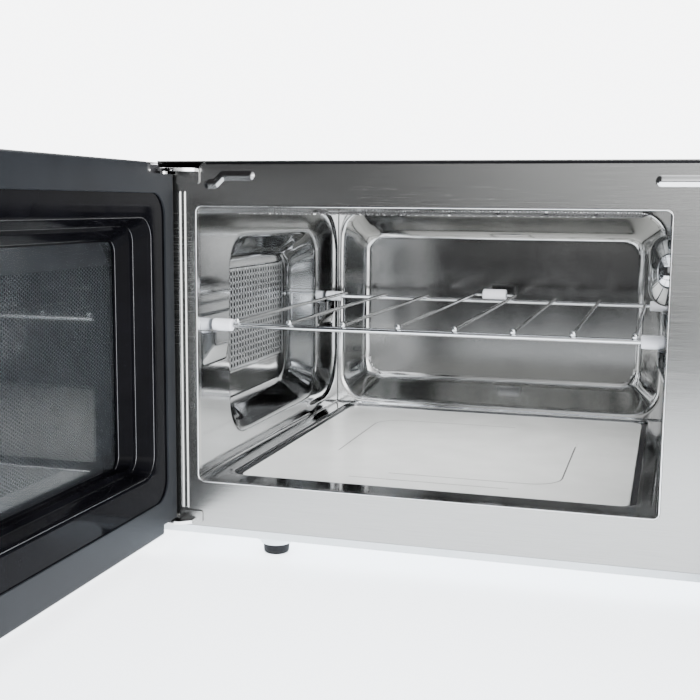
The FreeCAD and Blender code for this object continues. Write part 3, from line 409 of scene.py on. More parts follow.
def perforated(plane, w, thickness, us, vs, radius, sides=8):
    """A plate of square cells, each with a hole: us and vs are the cells' edges."""
    points, faces = [], []
    for j in range(len(vs) - 1):
        for i in range(len(us) - 1):
            u0, u1, v0, v1 = us[i], us[i + 1], vs[j], vs[j + 1]
            cu, cv = (u0 + u1) / 2, (v0 + v1) / 2
            base = len(points)
            ring = [(math.cos(2 * math.pi * (k + 0.5) / sides), math.sin(2 * math.pi * (k + 0.5) / sides))
                    for k in range(sides)]
            for a, b in ring:
                big = max(abs(a), abs(b))
                edge_u, edge_v = cu + a / big * (u1 - u0) / 2, cv + b / big * (v1 - v0) / 2
                points.append(frame_point(plane, edge_u, edge_v, w))
            for depth in (w, w + thickness):
                for a, b in ring:
                    points.append(frame_point(plane, cu + a * radius, cv + b * radius, depth))
            for k in range(sides):
                n = (k + 1) % sides
                faces.append((base + k, base + n, base + sides + n, base + sides + k))
                faces.append((base + sides + k, base + sides + n, base + 2 * sides + n, base + 2 * sides + k))
    return points, faces


def cutout(name, plane, w, thickness, outer, holes, material, round_over=0.3, **riding):
    """A flat sheet with holes, cut from closed outlines, with its edges rounded over."""
    curve = bpy.data.curves.new(name, "CURVE")
    curve.dimensions = "2D"
    curve.fill_mode = "BOTH"
    curve.extrude = abs(thickness) / 2
    for loop in (outer, *holes):
        spline = curve.splines.new("POLY")
        spline.points.add(len(loop) - 1)
        for point, (u, v) in zip(spline.points, loop):
            point.co = (u, v, 0, 1)
        spline.use_cyclic_u = True
    flat = put(name, curve)
    shape = bpy.data.meshes.new_from_object(flat.evaluated_get(bpy.context.evaluated_depsgraph_get()))
    bpy.data.objects.remove(flat)
    points = [frame_point(plane, p.co.x, p.co.y, w + thickness / 2 + p.co.z * (-1 if plane == "xz" else 1))
              for p in shape.vertices]
    obj = piece(name, points, [tuple(f.vertices) for f in shape.polygons], material, **riding)
    weld = obj.modifiers.new("weld", "WELD")
    weld.merge_threshold = 0.01 * MM
    edges = obj.modifiers.new("edges", "BEVEL")
    edges.width = round_over * MM
    edges.segments = 2
    edges.limit_method = "ANGLE"
    edges.angle_limit = math.radians(50)
    return obj


def carve(obj, *blocks):
    """Cut rectangular notches: each block is its lowest and highest corner, in millimetres."""
    for number, (low, high) in enumerate(blocks):
        corners = [(x, y, z) for x in (low[0], high[0]) for y in (low[1], high[1]) for z in (low[2], high[2])]
        faces = [(0, 1, 3, 2), (4, 6, 7, 5), (0, 4, 5, 1), (2, 3, 7, 6), (0, 2, 6, 4), (1, 5, 7, 3)]
        mesh = bpy.data.meshes.new("notch")
        mesh.from_pydata([tuple(here(*c)) for c in corners], [], faces)
        cutter = put(f"{obj.name}_notch_{number}", mesh)
        notch = obj.modifiers.new("notch", "BOOLEAN")
        notch.object = cutter
        notch.solver = "EXACT"
        bake(obj)
        bpy.data.objects.remove(cutter)
    return obj


def bake(obj):
    """Apply the modifiers, so that the mesh stands on its own."""
    shape = bpy.data.meshes.new_from_object(obj.evaluated_get(bpy.context.evaluated_depsgraph_get()))
    obj.modifiers.clear()
    obj.data = shape


def ridge(path, half_width, height, step=0.6):
    """A pressed bead along a path in the front plate's plane."""
    def gap(u, v):
        best = 1e9
        for (a0, b0), (a1, b1) in zip(path, path[1:]):
            along = (a1 - a0, b1 - b0)
            t = ((u - a0) * along[0] + (v - b0) * along[1]) / (along[0] ** 2 + along[1] ** 2)
            t = min(1.0, max(0.0, t))
            best = min(best, math.hypot(u - a0 - along[0] * t, v - b0 - along[1] * t))
        return best

    def height_at(u, v):
        d = min(1.0, gap(u, v) / half_width)
        return 0.05 - height * (0.5 + 0.5 * math.cos(math.pi * d))

    us = span(min(p[0] for p in path) - half_width, max(p[0] for p in path) + half_width, step)
    vs = span(min(p[1] for p in path) - half_width, max(p[1] for p in path) + half_width, step)
    return field("xz", us, vs, height_at, lambda u, v: gap(u, v) > half_width + 0.3)


# ---------------------------------------------------------------- front plate
HALF, TOP, BACK = 170, 208.3, 359  # half the mouth's width, its height, and the cavity's depth
LATCH_X = 203  # middle of the two slots for the door's hooks
SLOT_FEET = (9, 177)


def front_plate():
    low, high = cad("front_plate")
    left, right, foot, top = -200, 314.5, low.z, high.z
    notch_x, notch_z, r = -168, 232, 6
    outline = [(left, foot), (right, foot), (right, top), *arc(notch_x + r, top - r, r, 90, 180, 8),
               (notch_x, notch_z), (left, notch_z)]
    mouth = rounded(-HALF - 1.3, HALF + 1.3, -1.3, TOP + 1.3, 5)
    half_slot, slot_tall = 4, 21
    slots = [rounded(LATCH_X - half_slot, LATCH_X + half_slot, z, z + slot_tall, 1.5, 3) for z in SLOT_FEET]
    cutout("front_plate", "xz", 0, 0.9, outline, [mouth, *slots], "front", replaces=["front_plate"],
           slot="brushed_stainless")
    size = (-HALF, HALF, 0, TOP, 4)
    stages = [(0.9, 1.3), (0.0, 1.3), (-0.3, 1.15), (-0.45, 0.8), (-0.4, 0.4), (-0.2, 0.12), (0.2, 0), (5, 0),
              (5, 0.8), (0.9, 0.8)]
    rim = loops("xz", [(y, *grow(size, by)) for y, by in stages], closed=True)
    piece("mouth_rim", *rim, "polish", slot="polished_stainless")
    edge_beads = [ridge([(x, -22), (x, 219)], half_width=1.3, height=0.8, step=0.5) for x in (-183.5, -179.7)]
    piece("edge_beads", *join(edge_beads), "front", slot="brushed_stainless")
    crank = ridge([(-160, 224.9), (-154.5, 225.3), (-148.5, 231), (-126.8, 231)], half_width=4.0, height=1.3)
    piece("cranked_bead", *crank, "guard", slot="brushed_stainless")
    # The straight bead is pressed in the brushed plate but takes the brighter polished sheet: painted
    # highlight.
    straight = ridge([(162.5, 227.8), (205, 227.8)], half_width=4.4, height=1.3)
    piece("straight_bead_highlight", *straight, "polish", slot="brushed_stainless")
    # Near-black strip over the top of the plate: painted shade of the seam at its top edge.
    slab("top_edge_shade_strip", "xz", (notch_x + r, right - 0.5, top - 1.7, top, 0.3), 0.4, -0.15, "dark_zinc", 0.1,
         slot="brushed_stainless")


# ---------------------------------------------------------------- cavity
# Rounded rectangles are (low, high) along, (low, high) up, and the corner's radius.
AIR_LIP = (63, 287, 20, 186, 30)
AIR_FLAT = (98, 251, 44, 161, 17)
GRID = (106, 246, 67, 155)
AIR_DEPTH = 21
BACK_LIP = (-166, 166, 2, 205.3, 28)
BACK_FLAT = (-139, 139, 31.5, 175.5, 15)
BACK_DEPTH = 22
LEDGES = (34, 318)
DOME = (130, 162, 36, 28, 17)  # middle y and z, half length, half height, reach


def ramp(t, start, stop):
    """From 0 to 1 with a rounded start and a rounded stop of the given lengths."""
    t = min(1.0, max(0.0, t))
    slope = 1 / (1 - start / 2 - stop / 2)
    if t < start:
        return slope * t * t / (2 * start)
    if t > 1 - stop:
        return 1 - slope * (1 - t) ** 2 / (2 * stop)
    return slope * (t - start / 2)


def recess(u, v, lip, flat, depth, start=0.1, stop=0.3):
    out, inn = outside(u, v, lip), outside(u, v, flat)
    if out >= 0:
        return 0.0
    if inn <= 0:
        return depth
    return depth * ramp(-out / (inn - out), start, stop)


def ledge(y, z):
    """The pressed bracket that carries the rack: a wedge with a sharp upper edge."""
    best = 0.0
    for middle in LEDGES:
        if not (middle - 24 < y < middle + 24 and 88 < z < 112.4):
            continue
        side = min(y - middle + 24, middle + 24 - y) / 11
        below = (z - 88) / 15
        best = max(best, 6 * ramp(min(side, below, 1.0), 0.1, 0.25))
    return best


def corner_step(y, z):
    """A shallow rounded border near the rear corners of a side wall."""
    size = (-80, 353, 14, 202.5, 46)
    edge = ramp(outside(y, z, size) / 3.0, 0.4, 0.4)
    return 1.5 * edge * ramp((y - 255) / 30, 0.4, 0.4)


def left_wall():
    def x_at(y, z):
        return -HALF - 0.4 - recess(y, z, AIR_LIP, AIR_FLAT, AIR_DEPTH) + ledge(y, z) + corner_step(y, z)

    y0, y1, z0, z1 = GRID
    ys = span(5, BACK, 1.9, (y0, y1, 58, 57.9, 294))
    zs = span(0, TOP, 1.9, (z0, z1, 112.4, 112.39, 88))
    sheet = field("yz", ys, zs, x_at, lambda y, z: y0 < y < y1 and z0 < z < z1)
    thicken(piece("cavity_left_wall", *sheet, "cavity", replaces=["cavity_left_wall"], smooth=60,
                  slot="polished_stainless"), 0.7)
    columns, rows = 21, 16
    inset_y, inset_z = 2.0, 1.5
    cells_y = [y0 + inset_y + (y1 - y0 - 2 * inset_y) * i / columns for i in range(columns + 1)]
    cells_z = [z0 + inset_z + (z1 - z0 - 2 * inset_z) * i / rows for i in range(rows + 1)]
    x = -HALF - 0.4 - AIR_DEPTH
    plate = perforated("yz", x, -0.5, cells_y, cells_z, 2.1, 10)
    inner = (x, cells_y[0], cells_y[-1], cells_z[0], cells_z[-1], 0.3)
    border = loops("yz", [(x, y0, y1, z0, z1, 0.3), inner], steps=1)
    piece("hot_air_grid", *join([plate, border]), "grid", replaces=["hot_air_grid"], smooth=40,
          slot="polished_stainless")


def right_wall():
    def x_at(y, z):
        return HALF + 0.4 - ledge(y, z) - corner_step(y, z)

    ys, zs = span(5, BACK, 2.4, (58, 57.9, 294)), span(0, TOP, 2.2, (112.4, 112.39, 88))
    points, faces = field("yz", ys, zs, x_at)
    wall = piece("cavity_right_wall", points, [tuple(reversed(f)) for f in faces], "cavity", smooth=60,
                 replaces=["cavity_right_wall"], slot="polished_stainless")
    thicken(wall, 0.7)
    centre_y, centre_z, half_y, half_z, reach = DOME
    rings = [(math.sin(math.radians(t)), max(0.04, math.cos(math.radians(t)) ** 0.6))
             for t in range(0, 91, 6)]
    points = []
    count = 56
    for out, size in rings:
        for i in range(count):
            turn = 2 * math.pi * i / count
            points.append(here(HALF - 0.2 - reach * out, centre_y + half_y * size * math.cos(turn),
                               centre_z + half_z * size * math.sin(turn)))
    faces = skin(len(rings), count, flip=True) + ends(len(rings), count)[1:]
    piece("lamp_dome", points, faces, "cavity", replaces=["lamp_dome"], smooth=120, slot="polished_stainless")


def back_wall():
    def y_at(x, z):
        return BACK + recess(x, z, BACK_LIP, BACK_FLAT, BACK_DEPTH, 0.12, 0.3)

    xs, zs = span(-HALF, HALF, 2.0), span(0, TOP, 1.9)
    wall = piece("cavity_back_wall", *field("xz", xs, zs, y_at), "back", replaces=["cavity_back_wall"],
                 smooth=60, slot="polished_stainless")
    # The flat recess floor gets the darkest copy of the steel: painted shade, with a satin finish.
    refinish(wall, "back_flat", lambda middle: outside(middle.x, middle.z, BACK_FLAT) < 0)
    thicken(wall, 0.8)


def fillet(gap, r=4.0):
    """Rise of a concave fillet at a distance from a wall."""
    return r - math.sqrt(r * r - (r - gap) ** 2) if gap < r else 0.0


def cavity_floor():
    lip, flat = (-158, 158, 23, 359, 17), (-156.3, 156.3, 24.7, 357.3, 15)
    clear = 0.1  # keeps the sheet off the CAD pan's own face

    def z_at(x, y):
        rise = fillet(max(0.0, HALF - abs(x))) + fillet(max(0.0, BACK + 1 - y))
        return clear + rise - recess(x, y, lip, flat, 2.8, 0.3, 0.1)

    xs = span(-HALF, HALF, 3.2, (-169.6, -168.5, -167, 169.6, 168.5, 167, -158, -157, 157, 158))
    ys = span(5, BACK, 3.2, (23, 24, 25, 356, 357, 358))
    sheet = field("xy", xs, ys, z_at, lambda x, y: outside(x, y, (-152, 152, 29, 353, 12)) < 0)
    piece("cavity_floor_pan", *sheet, "cavity", smooth=50, slot="polished_stainless")
    ring = (-156, 156, 25, 357, 14.5)
    bead = [(-6.6, -0.6), (-3.0, -0.6), (-2.5, -1.0), (-2.4, -2.8), (-2.5, -5.2), (-3.0, -5.8), (-6.6, -5.9)]
    seal = loops("xy", [(z, *grow(ring, by)) for z, by in bead], closed=True)
    piece("plate_seal", *seal, "silicone", replaces=["plate_seal"], slot="black_silicone")
    size = (-150, 150, 31, 351, 11)
    rows = [(-6.9, 0), (-3.0, 0), (-2.4, -0.15), (-2.08, -0.5), (-2.0, -1.1)]
    plate = loops("xy", [(z, *grow(size, by)) for z, by in rows], cap_first=True, cap_last=True)
    piece("ceramic_plate", *plate, "ceramic", replaces=["ceramic_plate"], slot="white_ceramic")
    printed_lines()


def printed_lines():
    """Two open brackets and a short line printed on the plate."""
    x0, x1, y0, y1, r, wide = -101, 96, 75, 288, 25, 0.6
    rear = [(x0, 141), *arc(x0 + r, y1 - r, r, 180, 90, 10), (33, y1)]
    front = [(x1, 219), *arc(x1 - r, y0 + r, r, 0, -90, 10), (-39, y0)]
    short = [(-66, 55), (60, 55)]
    parts = []
    for path in (rear, front, short):
        points, faces = [], []
        for k, p in enumerate(path):
            ahead = Vector(path[min(k + 1, len(path) - 1)]) - Vector(path[max(k - 1, 0)])
            side = Vector((-ahead.y, ahead.x)).normalized() * wide
            for sign in (1, -1):
                points.append(here(p[0] + side.x * sign, p[1] + side.y * sign, -1.97))
        for k in range(len(path) - 1):
            faces.append((2 * k, 2 * k + 1, 2 * k + 3, 2 * k + 2))
        parts.append((points, faces))
    piece("plate_print", *join(parts), "print", smooth=0, slot="white_ceramic")


def grill_guard():
    """Tray of fine perforated sheet under the grill, its front lip notched over each wire."""
    low, high = cad("grill_guard")
    pitch, notch = 34.1, 1.6
    parts = []
    for i in range(-1, 8):
        left = max(low.x, (i - 3.5) * pitch + notch) if i >= 0 else low.x
        right = min(high.x, (i - 2.5) * pitch - notch)
        columns = max(2, round((right - left) / 2.5))
        us = [left + (right - left) * k / columns for k in range(columns + 1)]
        for y, depth in ((low.y, 0.6), (high.y, -0.6)):
            parts.append(perforated("xz", y, depth, us, [low.z, low.z + 2.5, high.z], 0.85, 6))
    xs = [low.x + (high.x - low.x) * i / 50 for i in range(51)]
    ys = [low.y + (high.y - low.y) * i / 52 for i in range(53)]
    parts.append(perforated("xy", low.z, 0.6, xs, ys, 2.1, 6))
    piece("grill_guard", *join(parts), "guard", replaces=["grill_guard"], smooth=30,
          slot="polished_stainless")


# ---------------------------------------------------------------- rack
def rack():
    z, wire_z, pitch, tail = 117.5, 120.8, 42.54, 351
    fronts, backs = 28.5, 319
    parts = []
    for y in (fronts, backs):
        parts.append(tube([(-160, y, z), (-100, y, z), (0, y, z), (100, y, z), (160, y, z)], 2.0, 16))
    for i in range(8):
        x = (i - 3.5) * pitch
        if i not in (3, 4):
            parts.append(tube([(x, fronts - 1, wire_z), (x, 120, wire_z), (x, backs + 3, wire_z)], 1.5))
        parts.append(knob_ball((x, fronts - 1.4, wire_z + 0.7), 2.5))
    half, middle, r = pitch / 2, 150, 5
    loop = [(-half, fronts), (-half, middle), *arc(r - half, tail - r, r, 180, 90, 6),
            *arc(half - r, tail - r, r, 90, 0, 6), (half, middle), (half, fronts)]
    parts.append(tube([(x, y, wire_z) for x, y in loop], 1.5))
    piece("wire_rack", *join(parts), "chrome", body="rack", replaces=["wire_rack"], smooth=50,
          slot="rack_wire")
    profile = [(0, 3.6), (0.3, 4.4), (1.0, 4.75), (2, 4.8), (14.3, 4.8), (15.4, 4.75), (16.0, 4.4),
               (16.3, 3.6)]
    sleeves = [lathe((x, y, z), "x", profile, 32) for x in (-169.3, 153) for y in (fronts, backs)]
    rear = [(0, 4.6), (0.4, 5.5), (1.2, 5.9), (3, 6), (21, 6), (22.8, 5.9), (23.6, 5.5), (24, 4.6)]
    sleeves.append(lathe((-12, tail, wire_z), "x", rear, 32))
    piece("rack_sleeves", *join(sleeves), "sleeve", body="rack", replaces=["rack_sleeves"], smooth=50,
          slot="white_sleeve")


# ---------------------------------------------------------------- hinges and feet
PIN = (-192.5, -8)  # x and y of the hinge's axis


def hinges():
    px, py = PIN
    for name, reach, foot, pin, span_z in (("upper_hinge", 24, 234, (220, 236.9), (225, 236.5)),
                                           ("lower_hinge", 18.8, -33.4, (-33.8, -19), (-33.4, -24))):
        r = 6.5
        arm = [(px + reach, -0.3), (px + 8, -0.3)]
        for i in range(13):
            turn = math.radians(90 + 180 * i / 12)
            arm.append((px + r * math.cos(turn) * 0.75, py + 0.3 + r * math.sin(turn) * 0.7))
        arm += [(px + reach - 8, py - 4.2), (px + reach, py + 2)]
        cutout(name, "xy", foot, 2.5, arm, [], "polish", 0.8, replaces=[name], slot="zinc_sheet")
        plate = rounded(px + 6.5, px + 25.5, span_z[0], span_z[1], 2, 4)
        cutout(f"{name}_plate", "xz", -1.4, 1.2, plate, [], "front", 0.4, slot="zinc_sheet")
        low, high = pin
        turned = [(low, 2.4), (low + 0.5, 3.0), (high - 1.4, 3.0), (high - 0.6, 2.7), (high, 1.6)]
        piece(f"{name}_pin", *lathe((px, py, 0), "z", turned, 32), "polish", slot="zinc_sheet")


def feet():
    places = [(x, y) for x in (-117, 250) for y in (28, 398)]
    foot = [(-60, 8.6), (-59.6, 9.3), (-58.8, 9.8), (-52, 10.4), (-50.6, 10.4), (-50.2, 10.2)]
    piece("rubber_feet", *join([lathe((x, y, 0), "z", foot) for x, y in places]), "rubber",
          replaces=["rubber_feet"], slot="black_rubber")
    boss = [(-41.5, 26), (-42.3, 25.6), (-44, 22), (-48.5, 14.5), (-50, 12.8), (-51.5, 12.2), (-52, 11.4)]
    piece("foot_bosses", *join([lathe((x, y, 0), "z", boss) for x, y in places]), "pale", slot="pale_base")


# ---------------------------------------------------------------- door
FRAME = (-412, -3.5, -37.4, 239.9, 3)
RING = (-382, -19, -11.5, 217.8, 17)
STEP = (-362.4, -38.6, 12.5, 199.5, 14)
NECK = (-357.4, -43.6, 15, 194.3, 12)
VIEW = (-349.2, -51.8, 18.4, 184, 9)
FACE_X = -186.5


def door_frame():
    x = FACE_X
    outer = [(x - 1.1, grow(RING, 0)), (x - 0.35, grow(RING, 0.15)), (x, grow(RING, 0.6)),
             (x, grow(FRAME, -2.2)), (x - 0.35, grow(FRAME, -0.9)), (x - 1.2, grow(FRAME, -0.2)),
             (x - 2.2, FRAME), (x - 33.6, FRAME), (x - 33.6, grow(FRAME, -1)),
             (x - 2.6, grow(FRAME, -1)), (x - 1.2, grow(FRAME, -2.6)), (x - 1.2, grow(RING, 1.4))]
    shell = loops("yz", [(w, *size) for w, size in outer], closed=True)
    frame_piece = piece("door_frame", *shell, "slate", body="door", replaces=["door_frame"], smooth=40,
                        slot="slate_plastic")
    notches = [((x - 60, -45.5, 231.9), (x + 1, 0, 241)), ((x - 60, -27.5, -39), (x + 1, 0, -29.4))]
    hook_gap = 2
    notches += [((x - 4, -406.5, z + hook_gap), (x + 1, -400.5, z + hook_gap + 17)) for z in SLOT_FEET]
    carve(frame_piece, *notches)


def top_bracket():
    """Dark block with a bright cap in the frame's upper notch; a thin web leaves room for the hinge arm."""
    riding = {"body": "door", "smooth": 35}
    slab("door_top_bracket", "yz", (-45, -34.2, 232.1, 239.1, 0.8), -200, -189.8, "plastic", 0.4,
         slot="black_plastic", **riding)
    slab("door_top_web", "yz", (-35, -3.8, 232.1, 239.1, 0.8), -200, -198.2, "plastic", 0.4,
         slot="black_plastic", **riding)
    slab("door_top_cap", "xy", (-199, -189, -44, -16, 1), 239.2, 239.8, "polish", 0.15,
         slot="zinc_sheet", **riding)
    heads = [lathe((0, y, z), "x", [(-189.9, 1.3), (-189.4, 1.2), (-189.1, 0.7)], 20)
             for y, z in ((-42.2, 235.4), (-36.8, 234.2))]
    piece("door_bracket_rivets", *join(heads), "polish", slot="zinc_sheet", **riding)


def door_ring():
    """Glossy drawn ring that steps down to the window."""
    x = FACE_X
    flat = x - 1.5
    stages = [(flat - 0.6, grow(RING, 5.5)), (flat, grow(RING, 5.5)), (flat, grow(RING, -4)),
              (flat, grow(STEP, 3.6)), (flat - 0.02, grow(STEP, 3.0)), (flat - 0.5, grow(STEP, 1.2)),
              (flat - 1.5, grow(STEP, 0.2)), (flat - 3.0, grow(STEP, -0.6)), (-198.5, grow(NECK, 0.6)),
              (-200.2, grow(NECK, 0.1)), (-201, grow(NECK, -0.9)), (-201.3, grow(NECK, -2.4)),
              (-202.0, grow(NECK, -3.4)), (-210.5, grow(VIEW, 1.3)), (-211.2, grow(VIEW, 0.5)),
              (-211.5, grow(VIEW, -0.6))]
    rim = [(-212.1, grow(VIEW, -0.6)), (-212.1, grow(VIEW, 3)), (-202.4, grow(NECK, -1.2)),
           (-201.9, grow(NECK, 1.2)), (flat - 3.4, grow(STEP, 0.6)), (flat - 0.9, grow(STEP, 3))]
    shell = loops("yz", [(w, *size) for w, size in stages + rim], closed=True)
    piece("door_choke_ring", *shell, "gloss", body="door", replaces=["door_choke_ring"], smooth=40,
          slot="gloss_black")
    # Thin bright beads laid along the ring's rounded edges: painted highlight lines.
    edges = []
    for size, middle in ((grow(RING, 4.6), flat + 0.05), (grow(STEP, 0.9), flat - 0.75), (NECK, -200.3),
                         (grow(VIEW, 1.0), -210.9)):
        turns = [math.radians(a) for a in range(0, 360, 45)]
        highlight_bead = [(middle + 0.35 * math.cos(a), *grow(size, 0.35 * math.sin(a))) for a in turns]
        edges.append(loops("yz", highlight_bead, closed=True))
    piece("door_ring_highlight_lines", *join(edges), "ring_edge", body="door", smooth=80, slot="gloss_black")


def slab(name, plane, size, w0, w1, material, edge=0.5, **riding):
    """A rounded plate with softened edges between two heights."""
    inward = math.copysign(edge, w1 - w0)
    rows = [(w0, -edge), (w0 + inward, 0), (w1 - inward, 0), (w1, -edge)]
    body = loops(plane, [(w, *grow(size, by)) for w, by in rows], cap_first=True, cap_last=True)
    return piece(name, *body, material, **riding)


def window():
    pane = grow(VIEW, 4.2, 8)
    slab("door_inner_glass", "yz", pane, -213.6, -212.3, "glass", 0.3, body="door",
         replaces=["door_inner_glass"], smooth=30, slot="clear_glass")
    pitch, radius = 2.57, 0.98
    step = pitch * math.cos(math.radians(30))
    left, foot, x = -348.4, 31, -213.9
    columns, rows = int(296 / step), int(137 / pitch)
    points, faces = [], []
    for i in range(columns):
        y = left + (i + 0.5) * step
        shift = pitch / 2 if i % 2 else 0
        for j in range(rows):
            z = foot + shift + (j + 0.5) * pitch
            base = len(points)
            for size in (pitch / math.sqrt(3), radius):
                for k in range(6):
                    turn = math.radians(60 * k)
                    points.append(here(x, y + size * math.cos(turn), z + size * math.sin(turn)))
            for k in range(6):
                n = (k + 1) % 6
                faces.append((base + k, base + n, base + 6 + n, base + 6 + k))
    top, right = foot + rows * pitch, left + columns * step
    lap_y, lap_z = 0.8, 0.3
    margin = (x, left + lap_y, right - lap_y, foot + pitch / 2 + lap_z, top - lap_z, 0.3)
    plain = loops("yz", [(x + 0.05, *pane), margin], steps=1)
    piece("door_screen", *join([(points, faces), plain]), "screen", body="door", replaces=["door_screen"],
          smooth=0, slot="screen_metal")
    outer = grow(VIEW, 5.0, 6)
    slab("door_outer_glass", "yz", outer, -221.2, -218.6, "smoked", 0.3, body="door",
         replaces=["door_outer_glass"], smooth=30, slot="smoked_glass")


def door_panel():
    low, high = cad("door_front_panel")
    size = (low.y, high.y, low.z, FRAME[3] - 0.4, 5)
    hole = grow(VIEW, 5.3, 6)
    rows = [(high.x, grow(size, 0)), (low.x + 2.5, grow(size, 0)), (low.x + 0.9, grow(size, -0.6)),
            (low.x, grow(size, -2.2)), (low.x, grow(hole, 1.4)), (low.x + 0.4, grow(hole, 0.4)),
            (low.x + 1.3, hole), (low.x + 3, hole), (low.x + 1.4, grow(hole, 2.5)),
            (low.x + 1.4, grow(size, -3)), (high.x, grow(size, -1))]
    shell = loops("yz", [(w, *s) for w, s in rows], closed=True)
    piece("door_front_panel", *shell, "door_panel", body="door", replaces=["door_front_panel"], smooth=40,
          slot="brushed_stainless")
    handle()


def handle():
    """Round bar with domed ends on two posts with flared feet."""
    low, high = cad("door_handle")
    r, x, y = 6.5, -254.5, -385
    bar = [(low.z, 1.5)]
    bar += [(low.z + r - r * math.cos(math.radians(a)), r * math.sin(math.radians(a)))
            for a in range(18, 91, 9)]
    bar += [(high.z - (z - low.z), size) for z, size in reversed(bar)]
    posts = [lathe((0, y, z), "x", [(x, 5), (low.x + 30, 5), (-223.4, 5), (-222.2, 5.9), (-221.8, 7.5),
                                    (-221.5, 7.5)], 32) for z in (44, 156)]
    piece("door_handle", *join([lathe((x, y, 0), "z", bar, 40), *posts]), "handle", body="door",
          replaces=["door_handle"], smooth=50, slot="polished_stainless")


# ---------------------------------------------------------------- control panel
FASCIA = (214, 316, -42, 242, 5)
FACE_Y = -37
KEY = (15, 6.5)  # half width and half height of a key
KEY_GAP = 0.6


def keys_at():
    """Middles of the six keys, from the lowest row up."""
    lowest, pitch = 100, 24
    return [(x, lowest + row * pitch) for row in range(3) for x in (244, 286)]


def key_outline(x, z, gap=0.0):
    half_x, half_z = KEY[0] + gap, KEY[1] + gap
    return x - half_x, x + half_x, z - half_z, z + half_z


def control_panel():
    y, inset = FACE_Y, 1.2
    display_hole, shaft_hole = rounded(226, 304, 184, 218, 2, 4), rounded(260, 270, 47, 57, 4.9, 6)
    key_holes = [rounded(*key_outline(x, z, KEY_GAP), 2.4, 4) for x, z in keys_at()]
    outline = rounded(*grow(FASCIA, -inset, FASCIA[4] - 1), 6)
    cutout("control_face", "xz", y, 2, outline, [display_hole, *key_holes, shaft_hole], "slate", 0.35,
           replaces=["control_fascia"], slot="slate_plastic")
    rows = [(-0.5, 0), (y + 2.4, 0), (y + 1.0, -0.35), (y + 0.35, -1.15), (y + 2, -1.2), (y + 2.6, -2),
            (-0.5, -2)]
    side = loops("xz", [(w, *grow(FASCIA, by)) for w, by in rows], closed=True)
    piece("control_sides", *side, "slate", smooth=40, slot="slate_plastic")
    slab("display_window", "xz", (226.2, 303.8, 184.2, 217.8, 1.8), y, y + 2.4, "display", 0.3,
         replaces=["display_window"], smooth=30, slot="smoked_glass")
    for number, (x, z) in enumerate(keys_at(), start=1):
        rows = [(y + 7.2, 1.4), (y + 5.7, 1.4), (y + 5.7, 0), (y - 1.1, 0), (y - 1.6, -0.4), (y - 1.8, -1.3),
                (y - 1.5, -4), (y - 1.4, -6)]
        stages = [(w, *grow((*key_outline(x, z), 2), by)) for w, by in rows]
        piece(f"key_{number}", *loops("xz", stages, cap_first=True, cap_last=True), "key",
              body=f"button_{number}", replaces=[f"key_{number}"], smooth=35, slot="black_plastic")
        icon(number, x, z, y - 1.45)
    knob_piece()


def icon(number, x, z, y):
    """Small generic marks: one to six bars, so that the keys differ."""
    parts = []
    for k in range(number):
        cx = x + (k - (number - 1) / 2) * 2.6
        parts.append(loops("xz", [(y, cx - 0.55, cx + 0.55, z - 2.2, z + 2.2, 0.5),
                                  (y - 0.05, cx - 0.5, cx + 0.5, z - 2.15, z + 2.15, 0.45)],
                           steps=3, cap_last=True))
    piece(f"key_mark_{number}", *join(parts), "mark", body=f"button_{number}", smooth=0, slot="black_plastic")


def knob_piece():
    cx, cz, front, back = 265, 52, -60, -37.6
    count = 96
    rings = [(front + 0.6, 15.5, 0), (front, 17.5, 0), (front + 0.1, 19.8, 0), (front + 0.7, 21.2, 0.3),
             (front + 2, 21.9, 0.7), (back - 3, 22.3, 0.7), (back - 1.2, 22.5, 0.2), (back, 22.6, 0)]
    points = []
    for y, r, flute in rings:
        for i in range(count):
            turn = 2 * math.pi * i / count
            size = r - flute * (0.5 + 0.5 * math.cos(24 * turn))
            points.append(here(cx + size * math.sin(turn), y, cz + size * math.cos(turn)))
    faces = skin(len(rings), count, flip=True)
    faces += [face[::-1] for face in ends(len(rings), count)]
    shaft = lathe((cx, 0, cz), "y", [(back - 1, 3), (-24, 3), (-23, 2.6)], 24)
    piece("knob", *join([(points, faces), shaft]), "knob", body="dial", replaces=["knob"], smooth=40,
          slot="knob_metal")
    mark = loops("xz", [(front + 0.35, cx - 0.8, cx + 0.8, cz + 9, cz + 17, 0.7),
                        (front, cx - 0.7, cx + 0.7, cz + 9.1, cz + 16.9, 0.6)], steps=4,
                 cap_last=True)
    piece("knob_mark", *mark, "plastic", body="dial", smooth=0, slot="knob_metal")
    ticks = []
    for k in range(11):
        turn = math.radians(-135 + 27 * k)
        size = 1.1 if k % 5 == 0 else 0.6
        out, across = Vector((math.sin(turn), math.cos(turn))), Vector((math.cos(turn), -math.sin(turn)))
        corners = [out * 25.5 + across * -0.4, out * 25.5 + across * 0.4,
                   out * (27.5 + 2 * size) + across * 0.4, out * (27.5 + 2 * size) + across * -0.4]
        ticks.append(([here(cx + c.x, FACE_Y - 0.04, cz + c.y) for c in corners], [(0, 1, 2, 3)]))
    piece("dial_ticks", *join(ticks), "mark", smooth=0, slot="slate_plastic")


